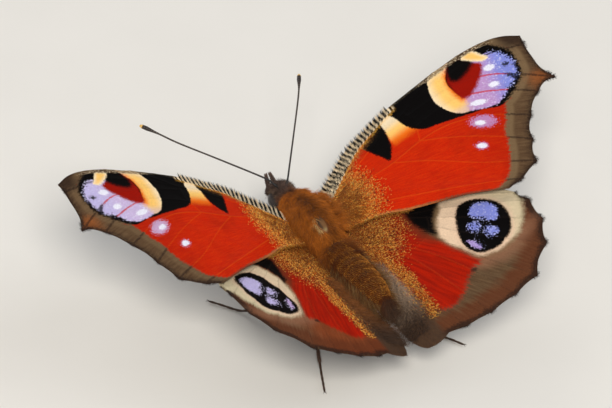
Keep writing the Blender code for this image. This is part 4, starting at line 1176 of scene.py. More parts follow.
@dataclass
class Body:
    """Head, thorax and abdomen under one skin, as oval sections: y, z of the middle, half width, half height.

    The sections are those of the solids. The skin lies inside them by the coat's depth.
    """

    head: Points = ((-7.55, -0.65, 0.40, 0.55), (-7.25, -0.62, 0.82, 1.05), (-6.65, -0.58, 1.20, 1.42),
                    (-5.9, -0.55, 1.36, 1.58), (-5.35, -0.50, 1.32, 1.48), (-4.9, -0.40, 1.12, 1.25))
    thorax: Points = ((-4.6, 0.15, 1.55, 1.65), (-4.0, 0.08, 2.00, 2.00), (-2.3, -0.10, 2.60, 2.50),
                      (0.0, -0.05, 2.98, 2.88), (2.2, -0.32, 2.75, 2.70), (4.0, -0.70, 2.20, 2.25),
                      (5.0, -1.00, 1.75, 1.80))
    abdomen: Points = ((5.3, -1.05, 1.65, 1.70), (7.0, -1.20, 1.85, 1.85), (10.0, -1.20, 1.95, 1.90),
                       (13.0, -1.30, 1.70, 1.65), (15.0, -1.50, 1.20, 1.20), (16.3, -1.60, 0.75, 0.75),
                       (16.9, -1.65, 0.35, 0.35))
    head_coat: float = 0.28
    thorax_coat: float = 0.80
    abdomen_coat: float = 0.36
    least: float = 0.12
    abdomen_rings: int = 8
    swell: float = 0.07
    rows: int = 220
    columns: int = 96
    bald_centre: Pair = (2.7, 79.0)     # y, and angle up from the left side in degrees
    bald_size: Pair = (1.15, 0.60)
    table: Array = field(init=False)

    def __post_init__(self) -> None:
        """Join the three sets of sections, each drawn in by its coat's depth."""
        rows = [(y, z, max(self.least, wide - coat), max(self.least, tall - coat))
                for sections, coat in ((self.head, self.head_coat), (self.thorax, self.thorax_coat),
                                       (self.abdomen, self.abdomen_coat)) for y, z, wide, tall in sections]
        self.table = np.array(rows)

    @property
    def ends(self) -> Pair:
        """y of the skin's front and rear."""
        return float(self.table[0, 0]), float(self.table[-1, 0])

    def section(self, y: Array) -> Array:
        """Middle height, half width and half height at y: cubic between sections, slopes from neighbours."""
        at, values = self.table[:, 0], self.table[:, 1:]
        slopes = np.gradient(values, at, axis=0)
        k = np.clip(np.searchsorted(at, y, side="right") - 1, 0, len(at) - 2)
        width = (at[k + 1] - at[k])[:, None]
        t = np.clip((y - at[k])[:, None] / width, 0.0, 1.0)
        shape = ((1 + 2 * t) * (1 - t)**2 * values[k] + t * (1 - t)**2 * width * slopes[k]
                 + t * t * (3 - 2 * t) * values[k + 1] + t * t * (t - 1) * width * slopes[k + 1])
        start, end = self.abdomen[0][0], self.abdomen[-1][0]
        share = np.clip((y - start) / (end - start), 0.0, 1.0)
        fuller = 1.0 + self.swell * (np.abs(np.sin(math.pi * self.abdomen_rings * share)) - 0.5) * (share > 0)
        shape[:, 1:] = np.maximum(shape[:, 1:], self.least) * fuller[:, None]
        return shape

    def point(self, y: Array, angle: Array) -> Array:
        """Skin point at y and an angle, counted up from the left side."""
        middle, wide, tall = self.section(y).T
        return np.stack((wide * np.cos(angle), y, middle + tall * np.sin(angle)), axis=1)

    def normal(self, y: Array, angle: Array) -> Array:
        """Outward direction of the skin, from its two tangents."""
        step = 0.02
        along = self.point(y + step, angle) - self.point(y - step, angle)
        around = self.point(y, angle + step) - self.point(y, angle - step)
        return unit(np.cross(along, around))

    def bald(self, y: Array, angle: Array) -> Array:
        """Depth inside the rubbed patch on the back of the thorax, 1 at its middle and 0 at its edge."""
        degrees = np.degrees(angle) - self.bald_centre[1]
        across = np.radians((degrees + 180.0) % 360.0 - 180.0) * 2.0
        return 1.0 - np.hypot((y - self.bald_centre[0]) / self.bald_size[0], across / self.bald_size[1])

    def tint(self, y: Array, angle: Array) -> Array:
        """Colour of skin and coat alike: grey-brown head, orange-brown thorax, darker ringed abdomen."""
        hue = BodyColours()
        places = self.point(y, angle)
        wander = np.clip(0.75 + 0.18 * ripple(places, 1.5, 21) - 0.35 * smooth(np.sin(angle), 0.9, 1.0)
                         + 0.3 * smooth(y, -2.0, -4.6), 0.0, 1.0)[:, None]
        fine = 0.5 + 0.5 * ripple(places, 0.5, 22)[:, None]
        thorax = blended(hue.umber, hue.fox, wander)
        low = smooth(-np.sin(angle), -0.1, 0.7)[:, None]
        thorax = blended(thorax, hue.belly, 0.6 * low)
        head = blended(hue.soot, hue.smoke, fine)
        abdomen = blended(hue.mahogany, hue.bronze, fine)
        share = (y - self.abdomen[0][0]) / (self.abdomen[-1][0] - self.abdomen[0][0])
        seam = (1.0 - np.abs(np.sin(math.pi * self.abdomen_rings * share)))[:, None] * (share > 0)[:, None]
        abdomen = abdomen * (1 - 0.3 * seam)
        abdomen = blended(abdomen, hue.belly, low)
        tail = smooth(y, 14.6, 16.6)[:, None]
        abdomen = blended(abdomen, COLOURS.fold_end, tail)
        to_thorax = smooth(y + 0.25 * ripple(places, 1.0, 23), -4.9, -3.8)[:, None]
        to_abdomen = smooth(y, 4.4, 6.6)[:, None]
        mixed = blended(blended(head, thorax, to_thorax), abdomen, to_abdomen)
        bare = smooth(self.bald(y, angle), 0.0, 0.35)[:, None] * (y < 5)[:, None]
        back = ((y - self.bald_centre[0]) / self.bald_size[0])[:, None]
        middle, rear = smooth(back, -0.7, 0.0), smooth(back, 0.35, 0.8)
        left = smooth(np.cos(angle), math.cos(math.radians(self.bald_centre[1])) - 0.02, 0.32)[:, None]
        patch = blended(hue.bare, hue.bare_tan, middle)
        patch = blended(patch, hue.bare_pale, rear)
        patch = patch * (1 - 0.75 * left * (1 - rear))
        return blended(mixed, patch, bare)

    def place(self, y: Array, angle: Array) -> Array:
        """Place on the skin's unwrap: angle across, length up."""
        front, rear = self.ends
        across, along = (angle / math.tau + 0.25) % 1.0, (y - front) / (rear - front)
        return 0.01 + 0.97 * np.stack((across, along), axis=1)

    def build(self, material: Material) -> Object:
        """The skin: rings along the body, closed by a point at each end."""
        front, rear = self.ends
        y = np.linspace(front, rear, self.rows)
        angles = np.linspace(0.0, math.tau, self.columns, endpoint=False) - math.pi / 2
        grid_y, grid_angle = (part.ravel() for part in np.meshgrid(y, angles, indexing="ij"))
        points = self.point(grid_y, grid_angle)
        tips = np.array(((0.0, front - self.least, self.table[0, 1]),
                         (0.0, rear + self.least, self.table[-1, 1])))
        faces = [block[:, ::-1] for block in capped_faces(self.rows, self.columns)]
        ends_y, ends_angle = np.array((front, rear)), np.zeros(2)
        all_y, all_angle = np.append(grid_y, ends_y), np.append(grid_angle, ends_angle)
        skin = make_mesh("body_skin", np.vstack((points, tips)), faces, [material],
                         numbers={"bare": np.where(all_y < 5, self.bald(all_y, all_angle), -1.0)},
                         tint=self.tint(all_y, all_angle), maps={BAKE_MAP: self.place(all_y, all_angle)})
        return dress(skin, "body_fur", "thorax", "abdomen", "head")


@dataclass(frozen=True)
class BodyColours:
    """Colours of the body's skin and hair, as shown on a display."""

    umber: tuple = linear(92, 49, 17)
    fox: tuple = linear(172, 98, 32)
    mahogany: tuple = linear(70, 33, 12)
    bronze: tuple = linear(106, 55, 18)
    belly: tuple = linear(66, 46, 34)
    soot: tuple = linear(44, 34, 32)
    smoke: tuple = linear(110, 88, 78)
    bare: tuple = linear(66, 52, 40)
    bare_tan: tuple = linear(112, 78, 44)
    bare_pale: tuple = linear(142, 126, 84)
    pale: tuple = linear(216, 186, 124)
    gold: tuple = linear(216, 146, 54)


@dataclass(frozen=True)
class CoatZone:
    """A stretch of the body's coat: how many hairs, how long, how thick, and how they lean."""

    name: str
    slot: str
    front: float
    rear: float
    count: int
    length: Pair
    width: float
    lift: Pair
    back: float
    outward: float
    pieces: int
    seed: int
    arc: Pair = (-90.0, 90.0)     # from under the body to its top, in degrees
    pale: float = 0.0                            # share of pale hair mixed in


ZONES = (
    CoatZone("thorax_fur", "body_fur", -4.1, 5.4, 18000, (0.85, 1.3), 0.032, (0.25, 0.65), 0.9, 0.3, 2, 31),
    CoatZone("collar_fur", "body_fur", -4.6, -2.6, 3200, (0.45, 0.8), 0.026, (0.40, 0.75), 0.6, 0.2, 1, 34,
             (-40.0, 90.0)),
    CoatZone("shoulder_hair", "body_fur", -2.6, 3.6, 4400, (1.2, 2.1), 0.028, (0.05, 0.35), 0.6, 1.2, 1, 35,
             (0.0, 48.0)),
    CoatZone("waist_hair", "body_fur", 3.0, 7.2, 3200, (1.1, 1.9), 0.028, (0.10, 0.4), 1.0, 0.35, 1, 40,
             (-10.0, 90.0)),
    CoatZone("abdomen_fur", "body_fur", 5.0, 16.98, 13000, (0.5, 0.9), 0.030, (0.20, 0.55), 1.0, 0.12, 2, 32),
    CoatZone("flank_hair", "body_fur", 4.8, 16.6, 3800, (1.0, 1.8), 0.026, (0.10, 0.4), 0.9, 0.75, 1, 36,
             (-30.0, 22.0), 0.12),
    CoatZone("tail_tuft", "body_fur", 15.4, 17.0, 1500, (0.9, 1.6), 0.026, (0.1, 0.7), 1.0, 0.5, 1, 38),
    CoatZone("head_fur", "head_fur", -7.55, -4.5, 6400, (0.45, 0.85), 0.020, (0.55, 1.0), -0.1, 0.15, 1, 33),
    CoatZone("face_tuft", "head_fur", -7.60, -6.6, 1500, (0.3, 0.55), 0.020, (0.4, 0.8), -0.9, 0.1, 1, 37,
             (-20.0, 90.0)),
    CoatZone("brow_hair", "head_fur", -6.7, -5.0, 1500, (0.5, 0.85), 0.020, (0.2, 0.6), -0.1, 0.9, 1, 39,
             (38.0, 76.0), 0.06))


@dataclass
class Coat:
    """Solid hairs over the body's skin, that follow the lie of the coat."""

    body: Body
    material: Material

    def roots(self, zone: CoatZone) -> tuple[Array, Array]:
        """Even scatter over a zone, thinned where the body is slim and left out of the rubbed patch.

        Args:
            zone: the stretch of coat.

        Returns:
            y and angle of each root.
        """
        pairs = spread(int(zone.count * 1.25), zone.seed * 0.137)
        y_table = np.linspace(zone.front, zone.rear, 200)
        girth = self.body.section(y_table)[:, 1:].sum(axis=1) + 0.7
        share = np.cumsum(girth)
        y = np.interp(pairs[:, 0], (share - share[0]) / (share[-1] - share[0]), y_table)
        low, high = (math.radians(end) for end in zone.arc)
        turn = pairs[:, 1] * 2.0 - 1.0
        angle = low + np.abs(turn) * (high - low)
        angle = np.where(turn > 0, angle, math.pi - angle)
        draw = np.random.default_rng(zone.seed).uniform(size=len(y))
        keep = (self.body.bald(y, angle) < 0.12 * draw) | (y > 5.5) | (y < -1.0)
        keep &= EYE.depth(self.body.point(y, angle)) < 0.0
        keep &= draw < 0.35 + 0.65 * smooth(np.sin(angle), -0.9, 0.2)
        return y[keep][:zone.count], angle[keep][:zone.count]

    def lean(self, zone: CoatZone, y: Array, angle: Array) -> Array:
        """Aim of each hair: up from the skin, back along it, away from the midline and the rubbed patch."""
        draw = np.random.default_rng(zone.seed + 1)
        places = self.body.point(y, angle)
        normal = self.body.normal(y, angle)
        back = unit(np.array((0.0, 1.0, 0.0)) - normal * normal[:, 1:2])
        around = np.cross(normal, back)
        away = np.where(np.cos(angle) >= 0, 1.0, -1.0)[:, None] * unit(np.stack(
            (np.abs(np.sin(angle)), np.zeros(len(y)), -np.abs(np.cos(angle))), axis=1))
        lift = draw.uniform(*zone.lift, len(y))[:, None]
        swirl = (ripple(places, 1.1, zone.seed + 2) * 0.55 + draw.normal(size=len(y)) * 0.22)[:, None]
        tuft = (ripple(places, 0.7, zone.seed + 3) * 0.35 + draw.normal(size=len(y)) * 0.15)[:, None]
        aims = normal * (lift + tuft * 0.5) + back * zone.back + away * zone.outward + around * swirl
        near = smooth(self.body.bald(y, angle), -1.3, 0.0)[:, None] * ((y < 6) & (y > -1))[:, None]
        parting = np.stack((np.cos(angle) * 0.8 - 0.15, (y - self.body.bald_centre[0]) / 2.0,
                            np.zeros(len(y))), axis=1)
        return unit(aims + parting * near * 0.9)

    def zone(self, zone: CoatZone) -> None:
        """Grow one zone's coat, in as many pieces as it names."""
        y, angle = self.roots(zone)
        draw = np.random.default_rng(zone.seed + 4)
        aims = self.lean(zone, y, angle)
        count = len(y)
        skin, bald = self.body.point(y, angle), self.body.bald(y, angle)
        length = draw.uniform(*zone.length, count) * (1.0 + 0.15 * ripple(skin, 1.3, 5))
        length *= 1.0 - 0.45 * smooth(bald, -0.5, 0.1) * ((y < 5.5) & (y > -1))
        tint = self.body.tint(y, angle)
        pale = zone.pale * draw.uniform(0.0, 2.0, count)[:, None]
        beside = smooth(bald, -0.35, -0.05) * (np.cos(angle) > 0.25) * (np.abs(y - 2.4) < 0.9)
        pale = np.maximum(pale, 0.75 * beside[:, None])
        tint = blended(tint, BodyColours().pale, pale) * draw.uniform(0.65, 1.3, (count, 1))
        hairs = Hairs(skin - self.body.normal(y, angle) * 0.05, aims,
                      unit(aims * np.array((1.0, 1.0, 0.0))) * 0.18 + draw.normal(size=(count, 3)) * 0.07
                      - np.array((0.0, 0.0, 0.10)),
                      length, zone.width * draw.uniform(0.7, 1.25, count), tint,
                      self.body.place(y, angle), levels=3, flat=0.8, seed=zone.seed)
        for k in range(zone.pieces):
            part = hairs.chosen(slice(k, None, zone.pieces)).made(f"{zone.name}_{k + 1}", self.material)
            dress(part, zone.slot)

    def bristles(self) -> None:
        """Stout golden bristles that lie along the back of the abdomen, in loose rows."""
        draw = np.random.default_rng(41)
        hue = BodyColours()
        pairs = spread(1900, 0.4)
        y = 5.6 + pairs[:, 0] * 9.6
        angle = math.radians(15) + pairs[:, 1] * math.radians(150)
        normal = self.body.normal(y, angle)
        aims = unit(normal * draw.uniform(0.25, 0.5, len(y))[:, None] + np.array((0.0, 1.0, 0.0))
                    + draw.normal(size=(len(y), 3)) * 0.18)
        mixed = draw.uniform(size=len(y))[:, None]
        tint = blended(hue.fox, hue.gold, mixed)
        hairs = Hairs(self.body.point(y, angle) + normal * 0.28, aims, np.zeros((len(y), 3)),
                      draw.uniform(0.14, 0.28, len(y)), draw.uniform(0.035, 0.055, len(y)), tint,
                      self.body.place(y, angle), levels=1, flat=0.5, seed=42)
        dress(hairs.made("abdomen_bristles", self.material), "body_fur")


# Head parts and legs

@dataclass(frozen=True)
class Eye:
    """A compound eye: an oval dome on the side of the head."""

    centre: Triple = (0.62, -5.9, -0.80)
    halves: Triple = (0.97, 1.08, 1.20)
    rows: int = 40
    columns: int = 64

    def depth(self, points: Array) -> Array:
        """How deep points of either side lie in the eye: positive inside it."""
        offset = np.column_stack((np.abs(points[:, 0]), points[:, 1:])) - self.centre
        return 1.0 - np.linalg.norm(offset / self.halves, axis=1)

    def build(self, side: Side, material: Material) -> Object:
        """The whole oval, half of it sunk in the head."""
        polar = np.linspace(0.0, math.pi, self.rows + 2)[1:-1]
        turn = np.linspace(0.0, math.tau, self.columns, endpoint=False)
        polar, turn = (part.ravel() for part in np.meshgrid(polar, turn, indexing="ij"))
        ring = np.stack((np.cos(polar), np.sin(polar) * np.cos(turn), np.sin(polar) * np.sin(turn)), axis=1)
        ring = np.vstack((ring, (1.0, 0.0, 0.0), (-1.0, 0.0, 0.0)))
        points = (np.array(self.centre) + ring * self.halves) * (side.value, 1.0, 1.0)
        faces = capped_faces(self.rows, self.columns)
        if side is Side.LEFT:
            faces = [block[:, ::-1] for block in faces]
        item = make_mesh(f"eye_{side.word}_dome", points, faces, [material])
        return dress(item, "eye", f"eye_{side.word}")


EYE = Eye()


@dataclass(frozen=True)
class Limb:
    """A tubular part on each side: its root on the body as y and angle, its path, its radii and its hairs."""

    name: str
    slot: str
    root: Pair
    path: Points
    profile: Points              # share of the length, radius
    count: int = 60              # rings
    sides: int = 14
    hairs: int = 0
    hair_length: Pair = (0.2, 0.4)
    hair_width: float = 0.02
    hair_lift: float = 0.6


LIMBS = (
    Limb("antenna", "feeler", (-6.0, 64.0),
         ((1.00, -6.35, 1.26), (1.62, -7.13, 1.72), (4.97, -11.49, 2.64), (7.90, -15.33, 3.38),
          (9.25, -17.18, 3.86), (10.20, -18.65, 4.12), (10.62, -19.32, 4.20)),
         ((0.0, 0.15), (0.03, 0.16), (0.06, 0.105), (0.5, 0.095), (0.86, 0.10), (0.90, 0.15), (0.95, 0.245),
          (0.985, 0.23), (1.0, 0.13)), 260, 12),
    Limb("palp", "head_fur", (-7.2, -10.0), ((0.50, -7.85, -0.42), (0.38, -8.35, 0.08), (0.27, -8.85, 0.56)),
         ((0.0, 0.20), (0.4, 0.23), (0.75, 0.17), (1.0, 0.04)), 30, 14, 2800, (0.14, 0.32), 0.018, 0.5),
    Limb("foreleg", "leg", (-3.2, -62.0), ((1.15, -4.0, -3.3), (1.15, -5.3, -3.2), (0.90, -6.3, -2.75)),
         ((0.0, 0.26), (0.4, 0.30), (0.8, 0.22), (1.0, 0.08)), 40, 14, 1300, (0.3, 0.6), 0.022, 0.7))


@dataclass(frozen=True)
class Leg:
    """A walking leg: its root on the body, and its joints down to the foot."""

    name: str
    root: Pair
    thigh: Triple
    knee: Triple
    ankle: Triple
    heel: Pair
    toe: Pair


LEGS = (Leg("midleg", (0.8, -62.0), (1.75, 0.95, -3.75), (7.0, 2.0, -2.9), (8.8, 2.3, -7.9), (9.5, 1.2),
            (11.6, -1.9)),
        Leg("hindleg", (3.0, -66.0), (1.55, 3.90, -3.80), (5.2, 8.6, -3.7), (7.2, 14.0, -7.9), (7.7, 15.2),
            (9.2, 18.2)))


@dataclass
class Limbs:
    """Antennae, palps, legs and the coiled tongue."""

    body: Body
    chitin: Material
    ringed: Material
    fur: Material
    foot_height: float = 0.175       # middle of the foot over the floor
    foot_radius: float = 0.15
    foot_segments: int = 5
    tongue_root: Pair = (-7.5, -90.0)
    tongue_stem: float = 0.75
    tongue_turns: float = 1.6
    tongue_coil: Pair = (0.78, 0.27)
    tongue_radii: Pair = (0.115, 0.07)

    def root(self, root: Pair) -> tuple[Array, Array]:
        """Point of the skin at a root, sunk a little, and the outward direction there."""
        y, angle = np.array((root[0],)), np.radians((root[1],))
        out = self.body.normal(y, angle)[0]
        return self.body.point(y, angle)[0] - 0.1 * out, out

    def hairs_on(self, path: Array, radii: Array, count: int, length: Pair, width: float,
                 lift: float, colours: tuple, seed: int) -> Hairs:
        """Hairs all over a tube that point along it and out from it.

        Args:
            path: middle of the tube.
            radii: its radii.
            count: how many hairs.
            length: shortest and longest hair.
            width: radius of a hair.
            lift: how far the hairs stand off.
            colours: the two colours that they are mixed from.
            seed: draw of the hairs.

        Returns:
            The hairs.
        """
        draw = np.random.default_rng(seed)
        at = draw.uniform(0.0, len(path) - 1.001, count)
        k = at.astype(int)
        part = (at - k)[:, None]
        middle = blended(path[k], path[k + 1], part)
        along = unit(path[k + 1] - path[k])
        out = unit(np.cross(along, draw.normal(size=(count, 3))))
        roots = middle + out * (radii[k] * 0.85)[:, None]
        aims = unit(along + out * lift * draw.uniform(0.5, 1.5, count)[:, None])
        mixed = draw.uniform(size=count)[:, None]
        tint = blended(colours[1], colours[0], mixed)
        tint = tint * (0.75 + 0.6 * at / len(path))[:, None]
        places = np.stack((0.02 + 0.95 * at / len(path), 0.02 + 0.95 * draw.uniform(size=count)), axis=1)
        return Hairs(roots, aims, along * 0.15, draw.uniform(*length, count), np.full(count, width), tint,
                     places, levels=2, flat=0.6, seed=seed)

    def limb(self, limb: Limb, side: Side) -> None:
        """A smooth limb with its hairs."""
        hue = BodyColours()
        start, out = self.root(limb.root)
        path = curve_through([start, start + 0.5 * out, *limb.path], limb.count) * (side.value, 1.0, 1.0)
        share = np.linspace(0.0, 1.0, limb.count)
        radii = np.interp(share, *np.array(limb.profile).T)
        run = share * np.linalg.norm(np.diff(path, axis=0), axis=1).sum()
        points, faces = tube(path, radii, limb.sides)
        item = make_mesh(f"{limb.name}_{side.word}_tube", points, faces,
                         [self.ringed if limb.slot == "feeler" else self.chitin],
                         numbers={"run": np.append(np.repeat(run, limb.sides), (0.0, run[-1])),
                                  "share": np.append(np.repeat(share, limb.sides), (0.0, 1.0))})
        dress(item, limb.slot, f"{limb.name}_{side.word}")
        if limb.hairs:
            hairs = self.hairs_on(path, radii, limb.hairs, limb.hair_length, limb.hair_width, limb.hair_lift,
                                  (hue.soot, hue.smoke), 50 + side.value)
            dress(hairs.made(f"{limb.name}_{side.word}_hairs", self.fur), limb.slot)

    def leg(self, leg: Leg, side: Side) -> None:
        """Femur, tibia and a foot of five segments with two claws, and their hairs."""
        hue = BodyColours()
        mirror = np.array((side.value, 1.0, 1.0))
        floor = -THORAX_HEIGHT + self.foot_height
        start, out = self.root(leg.root)
        knee, ankle = np.array(leg.knee), np.array(leg.ankle)
        heel, toe = np.array((*leg.heel, floor)), np.array((*leg.toe, floor))
        femur = curve_through([start, start + 0.4 * out, leg.thigh, knee], 40)
        femur_radii = np.interp(np.linspace(0, 1, 40), (0, 0.3, 0.6, 0.93, 1), (0.28, 0.34, 0.34, 0.22, 0.19))
        tibia = curve_through([knee, knee * 0.5 + ankle * 0.5 + (0.05, 0.0, 0.1), ankle], 34)
        tibia_radii = np.interp(np.linspace(0, 1, 34), (0, 0.1, 0.5, 0.92, 1), (0.17, 0.22, 0.22, 0.18, 0.20))
        foot = curve_through([ankle, heel, heel * 0.4 + toe * 0.6, toe], 60)
        share = np.linspace(0, 1, 60)
        pinch = 0.5 + 0.5 * np.cos(share * self.foot_segments * math.tau)
        foot_radii = self.foot_radius * (1.0 - 0.22 * share) * (1.0 - 0.22 * pinch**4)
        forms = [tube(femur * mirror, femur_radii, 16), tube(tibia * mirror, tibia_radii, 16),
                 tube(foot * mirror, foot_radii, 14)]
        ahead = unit(toe - heel)
        aside = np.cross(ahead, (0.0, 0.0, 1.0))
        for turn in (-1.0, 1.0):
            claw = [toe, toe + ahead * 0.20 + aside * turn * 0.10 + (0, 0, 0.05),
                    toe + ahead * 0.36 + aside * turn * 0.16 + (0, 0, -0.06)]
            forms.append(tube(curve_through(claw, 10) * mirror, np.linspace(0.05, 0.012, 10), 8))
        points, faces = joined(forms)
        zero = np.zeros(len(points))
        item = make_mesh(f"{leg.name}_{side.word}_joints", points, faces, [self.chitin],
                         numbers={"run": zero, "share": zero})
        dress(item, "leg", *(f"{leg.name}_{side.word}_{part}" for part in ("femur", "tibia", "tarsus")))
        for k, (path, radii, count, length) in enumerate((
                (femur, femur_radii, 1500, (0.25, 0.5)), (tibia, tibia_radii, 800, (0.14, 0.34)),
                (foot[:-4], foot_radii[:-4], 500, (0.06, 0.12)))):
            hairs = self.hairs_on(path * mirror, radii, count, length, 0.016, 0.5,
                                  (hue.umber, hue.smoke), 60 + k)
            if k == 2:
                hairs = hairs.chosen(hairs.aims[:, 2] > -0.05)
            dress(hairs.made(f"{leg.name}_{side.word}_hairs_{k + 1}", self.fur), "leg")

    def tongue(self) -> None:
        """The coil: out of the head by its stem, then turns that tighten evenly."""
        start, out = self.root(self.tongue_root)
        stem = start + out * self.tongue_stem
        outer, inner = self.tongue_coil
        first = math.atan2(-out[1], out[2])
        centre = stem - outer * np.array((0.0, math.cos(first), math.sin(first)))
        t = np.linspace(0.0, 1.0, 120)
        angle = first + math.tau * self.tongue_turns * t
        coil = centre + (outer + (inner - outer) * t)[:, None] * np.stack(
            (np.zeros(120), np.cos(angle), np.sin(angle)), axis=1)
        path = evened(np.vstack((start, coil)), 130)
        points, faces = tube(path, np.linspace(*self.tongue_radii, 130), 14)
        zero = np.zeros(len(points))
        item = make_mesh("proboscis_coil", points, faces, [self.chitin], numbers={"run": zero, "share": zero})
        dress(item, "proboscis", "proboscis")

    def build(self) -> None:
        """Every limb, left and right, and the tongue."""
        for side in Side:
            for limb in LIMBS:
                self.limb(limb, side)
            for leg in LEGS:
                self.leg(leg, side)
        self.tongue()


# Hairs and fringes of the wings

@dataclass
class WingCoat:
    """Solid scales and hairs on one pair of wings: gold at the base, long at the root, a fringe all round."""

    form: WingForm
    material: Material
    gold: int = 14000
    long: int = 2200
    fringe: int = 2600
    costal: int = 2600
    fold: int = 2600
    curtain: int = 800

    def scatter(self, weight: Array, count: int, draw: Draw) -> tuple[Array, Array]:
        """Random places on the wing, as dense as a weight asks for on each bit of its area.

        Args:
            weight: weight of each point of the plan grid.
            count: how many places.
            draw: random numbers.

        Returns:
            The places, and the lift of the upper face there.
        """
        plan, _ = self.form.plan_grid()
        grid = plan.reshape(self.form.rows, self.form.columns, 2)
        down, across = np.gradient(grid, axis=0), np.gradient(grid, axis=1)
        area = np.abs(down[..., 0] * across[..., 1] - down[..., 1] * across[..., 0]).ravel()
        chance = np.cumsum(area * weight)
        at = np.searchsorted(chance, draw.uniform(0.0, chance[-1], count))
        places = plan[at] + draw.uniform(-0.07, 0.07, (count, 2))
        ridge, shift = self.form.relief(places, self.form.vein_distance(places))
        return places, shift + ridge + self.form.half_thickness * 0.6

    def flow(self, places: Array, draw: Draw, spread_by: float, lift: Array, side: Side) -> Array:
        """Aim of hairs that lie outwards from the wing's root."""
        out = places - np.array((-1.5, 1.5))
        out = out / np.linalg.norm(out, axis=1)[:, None] + draw.normal(size=places.shape) * spread_by
        return self.form.direction(*out.T, lift, side)

    def add(self, name: str, side: Side, places: Array, lift: Array, aims: Array, length: Array, width: Array,
            tint: Array, levels: int, seed: int) -> None:
        """One coat piece rooted on the upper face."""
        hairs = Hairs(self.form.surface(places, lift, side), aims, unit(aims) * 0.1, length, width, tint,
                      self.form.bake_place(places, False), levels=levels, flat=0.45, seed=seed)
        dress(hairs.made(f"{self.form.kind}_{side.word}_{name}", self.material), self.form.kind)

    def golden(self, side: Side) -> None:
        """Short flat golden scales over the wing's base, thinning outwards."""
        draw = np.random.default_rng(71)
        plan, _ = self.form.plan_grid()
        marks = self.form.markings(plan)
        weight = smooth(marks["base"], -0.4, 5.5)
        if "band" in marks:
            weight = np.maximum(weight, 0.8 * (1 - smooth(marks["band"], 0.4, 1.5)))
            weight *= 1 - 0.8 * smooth(marks["fold"], 0.0, 0.6) * smooth(marks["chord"], 5.0, 8.0)
            weight *= smooth(marks["dark"], 0.0, -0.4)
        else:
            weight *= smooth(-marks["strip"], 0.0, 0.3)
        places, lift = self.scatter(weight, self.gold, draw)
        choice = np.searchsorted([share for _, share in SCALE_HUES], draw.uniform(size=self.gold))
        tint = np.array([getattr(COLOURS, name) for name, _ in SCALE_HUES])[choice]
        tint = tint * draw.uniform(0.75, 1.2, (self.gold, 1))
        aims = self.flow(places, draw, 0.6, draw.uniform(0.15, 0.8, self.gold), side)
        self.add("golden_scales", side, places, lift, aims, draw.uniform(0.12, 0.24, self.gold),
                 draw.uniform(0.045, 0.075, self.gold), tint, 1, 72)

    def rooted(self, side: Side) -> None:
        """Long fox-coloured hair over the wing's root."""
        draw = np.random.default_rng(73)
        hue = BodyColours()
        plan, _ = self.form.plan_grid()
        marks = self.form.markings(plan)
        reach = marks["base"]
        if self.form.kind == "hindwing":
            weight = smooth(reach, 3.0, 6.5) + 0.9 * smooth(-plan[:, 0] + 1.4, 0.0, 1.5)
        else:
            weight = smooth(reach, 3.0, 5.6) * smooth(-marks["strip"], -0.2, 0.3)
        places, lift = self.scatter(weight, self.long, draw)
        mixed = draw.uniform(size=(self.long, 1))
        tint = blended(hue.umber, hue.fox, mixed)
        far = smooth(places[:, 1], 6.0, 11.0)[:, None] * (self.form.kind == "hindwing")
        # painted light: the far root hairs take the fold's colour, fox on the left and greyer on the right
        tint = blended(tint, self.fold_tint(places, side) * (0.6 + 0.7 * mixed), far)
        aims = self.flow(places, draw, 0.2, draw.uniform(0.08, 0.35, self.long), side)
        near_edge = 1 - 0.75 * smooth(places[:, 1], 14.0, 18.5)
        self.add("long_hair", side, places, lift, aims, draw.uniform(0.8, 1.6, self.long) * near_edge,
                 draw.uniform(0.02, 0.032, self.long), tint, 2, 74)

    def fringed(self, side: Side) -> None:
        """Fringe of scales along the margin and the hind edge."""
        draw = np.random.default_rng(75)
        ends = [self.form.margin[-1][0], *self.form.trail, self.form.root[1]]
        line = evened(np.vstack((self.form.margin_line(), curve_through(ends, 60)[1:])), 600)
        tangent = unit(np.gradient(line, axis=0))
        at = draw.integers(0, len(line) - 30, self.fringe)
        outward = np.stack((tangent[at, 1], -tangent[at, 0]), axis=1)
        places = line[at] + draw.uniform(-0.05, 0.05, (self.fringe, 2)) - outward * draw.uniform(
            0.2, 0.38, (self.fringe, 1))
        outward = outward + draw.normal(size=outward.shape) * 0.14
        vein = self.form.vein_distance(places)
        _, shift = self.form.relief(places, vein)
        mixed = np.clip(smooth(vein, 0.9, 0.3) * 0.8 + draw.uniform(0.1, 0.5, self.fringe), 0.0, 1.0)[:, None]
        tint = blended(COLOURS.tan, COLOURS.dark_brown, mixed)
        aims = self.form.direction(*outward.T, draw.uniform(-0.12, 0.12, self.fringe), side)
        length = draw.uniform(0.34, 0.46, self.fringe) * (0.7 + 0.7 * smooth(vein, 0.8, 0.2))
        self.add("fringe", side, places, shift + draw.uniform(-0.04, 0.04, self.fringe), aims,
                 length, np.full(self.fringe, 0.035), tint, 1, 76)

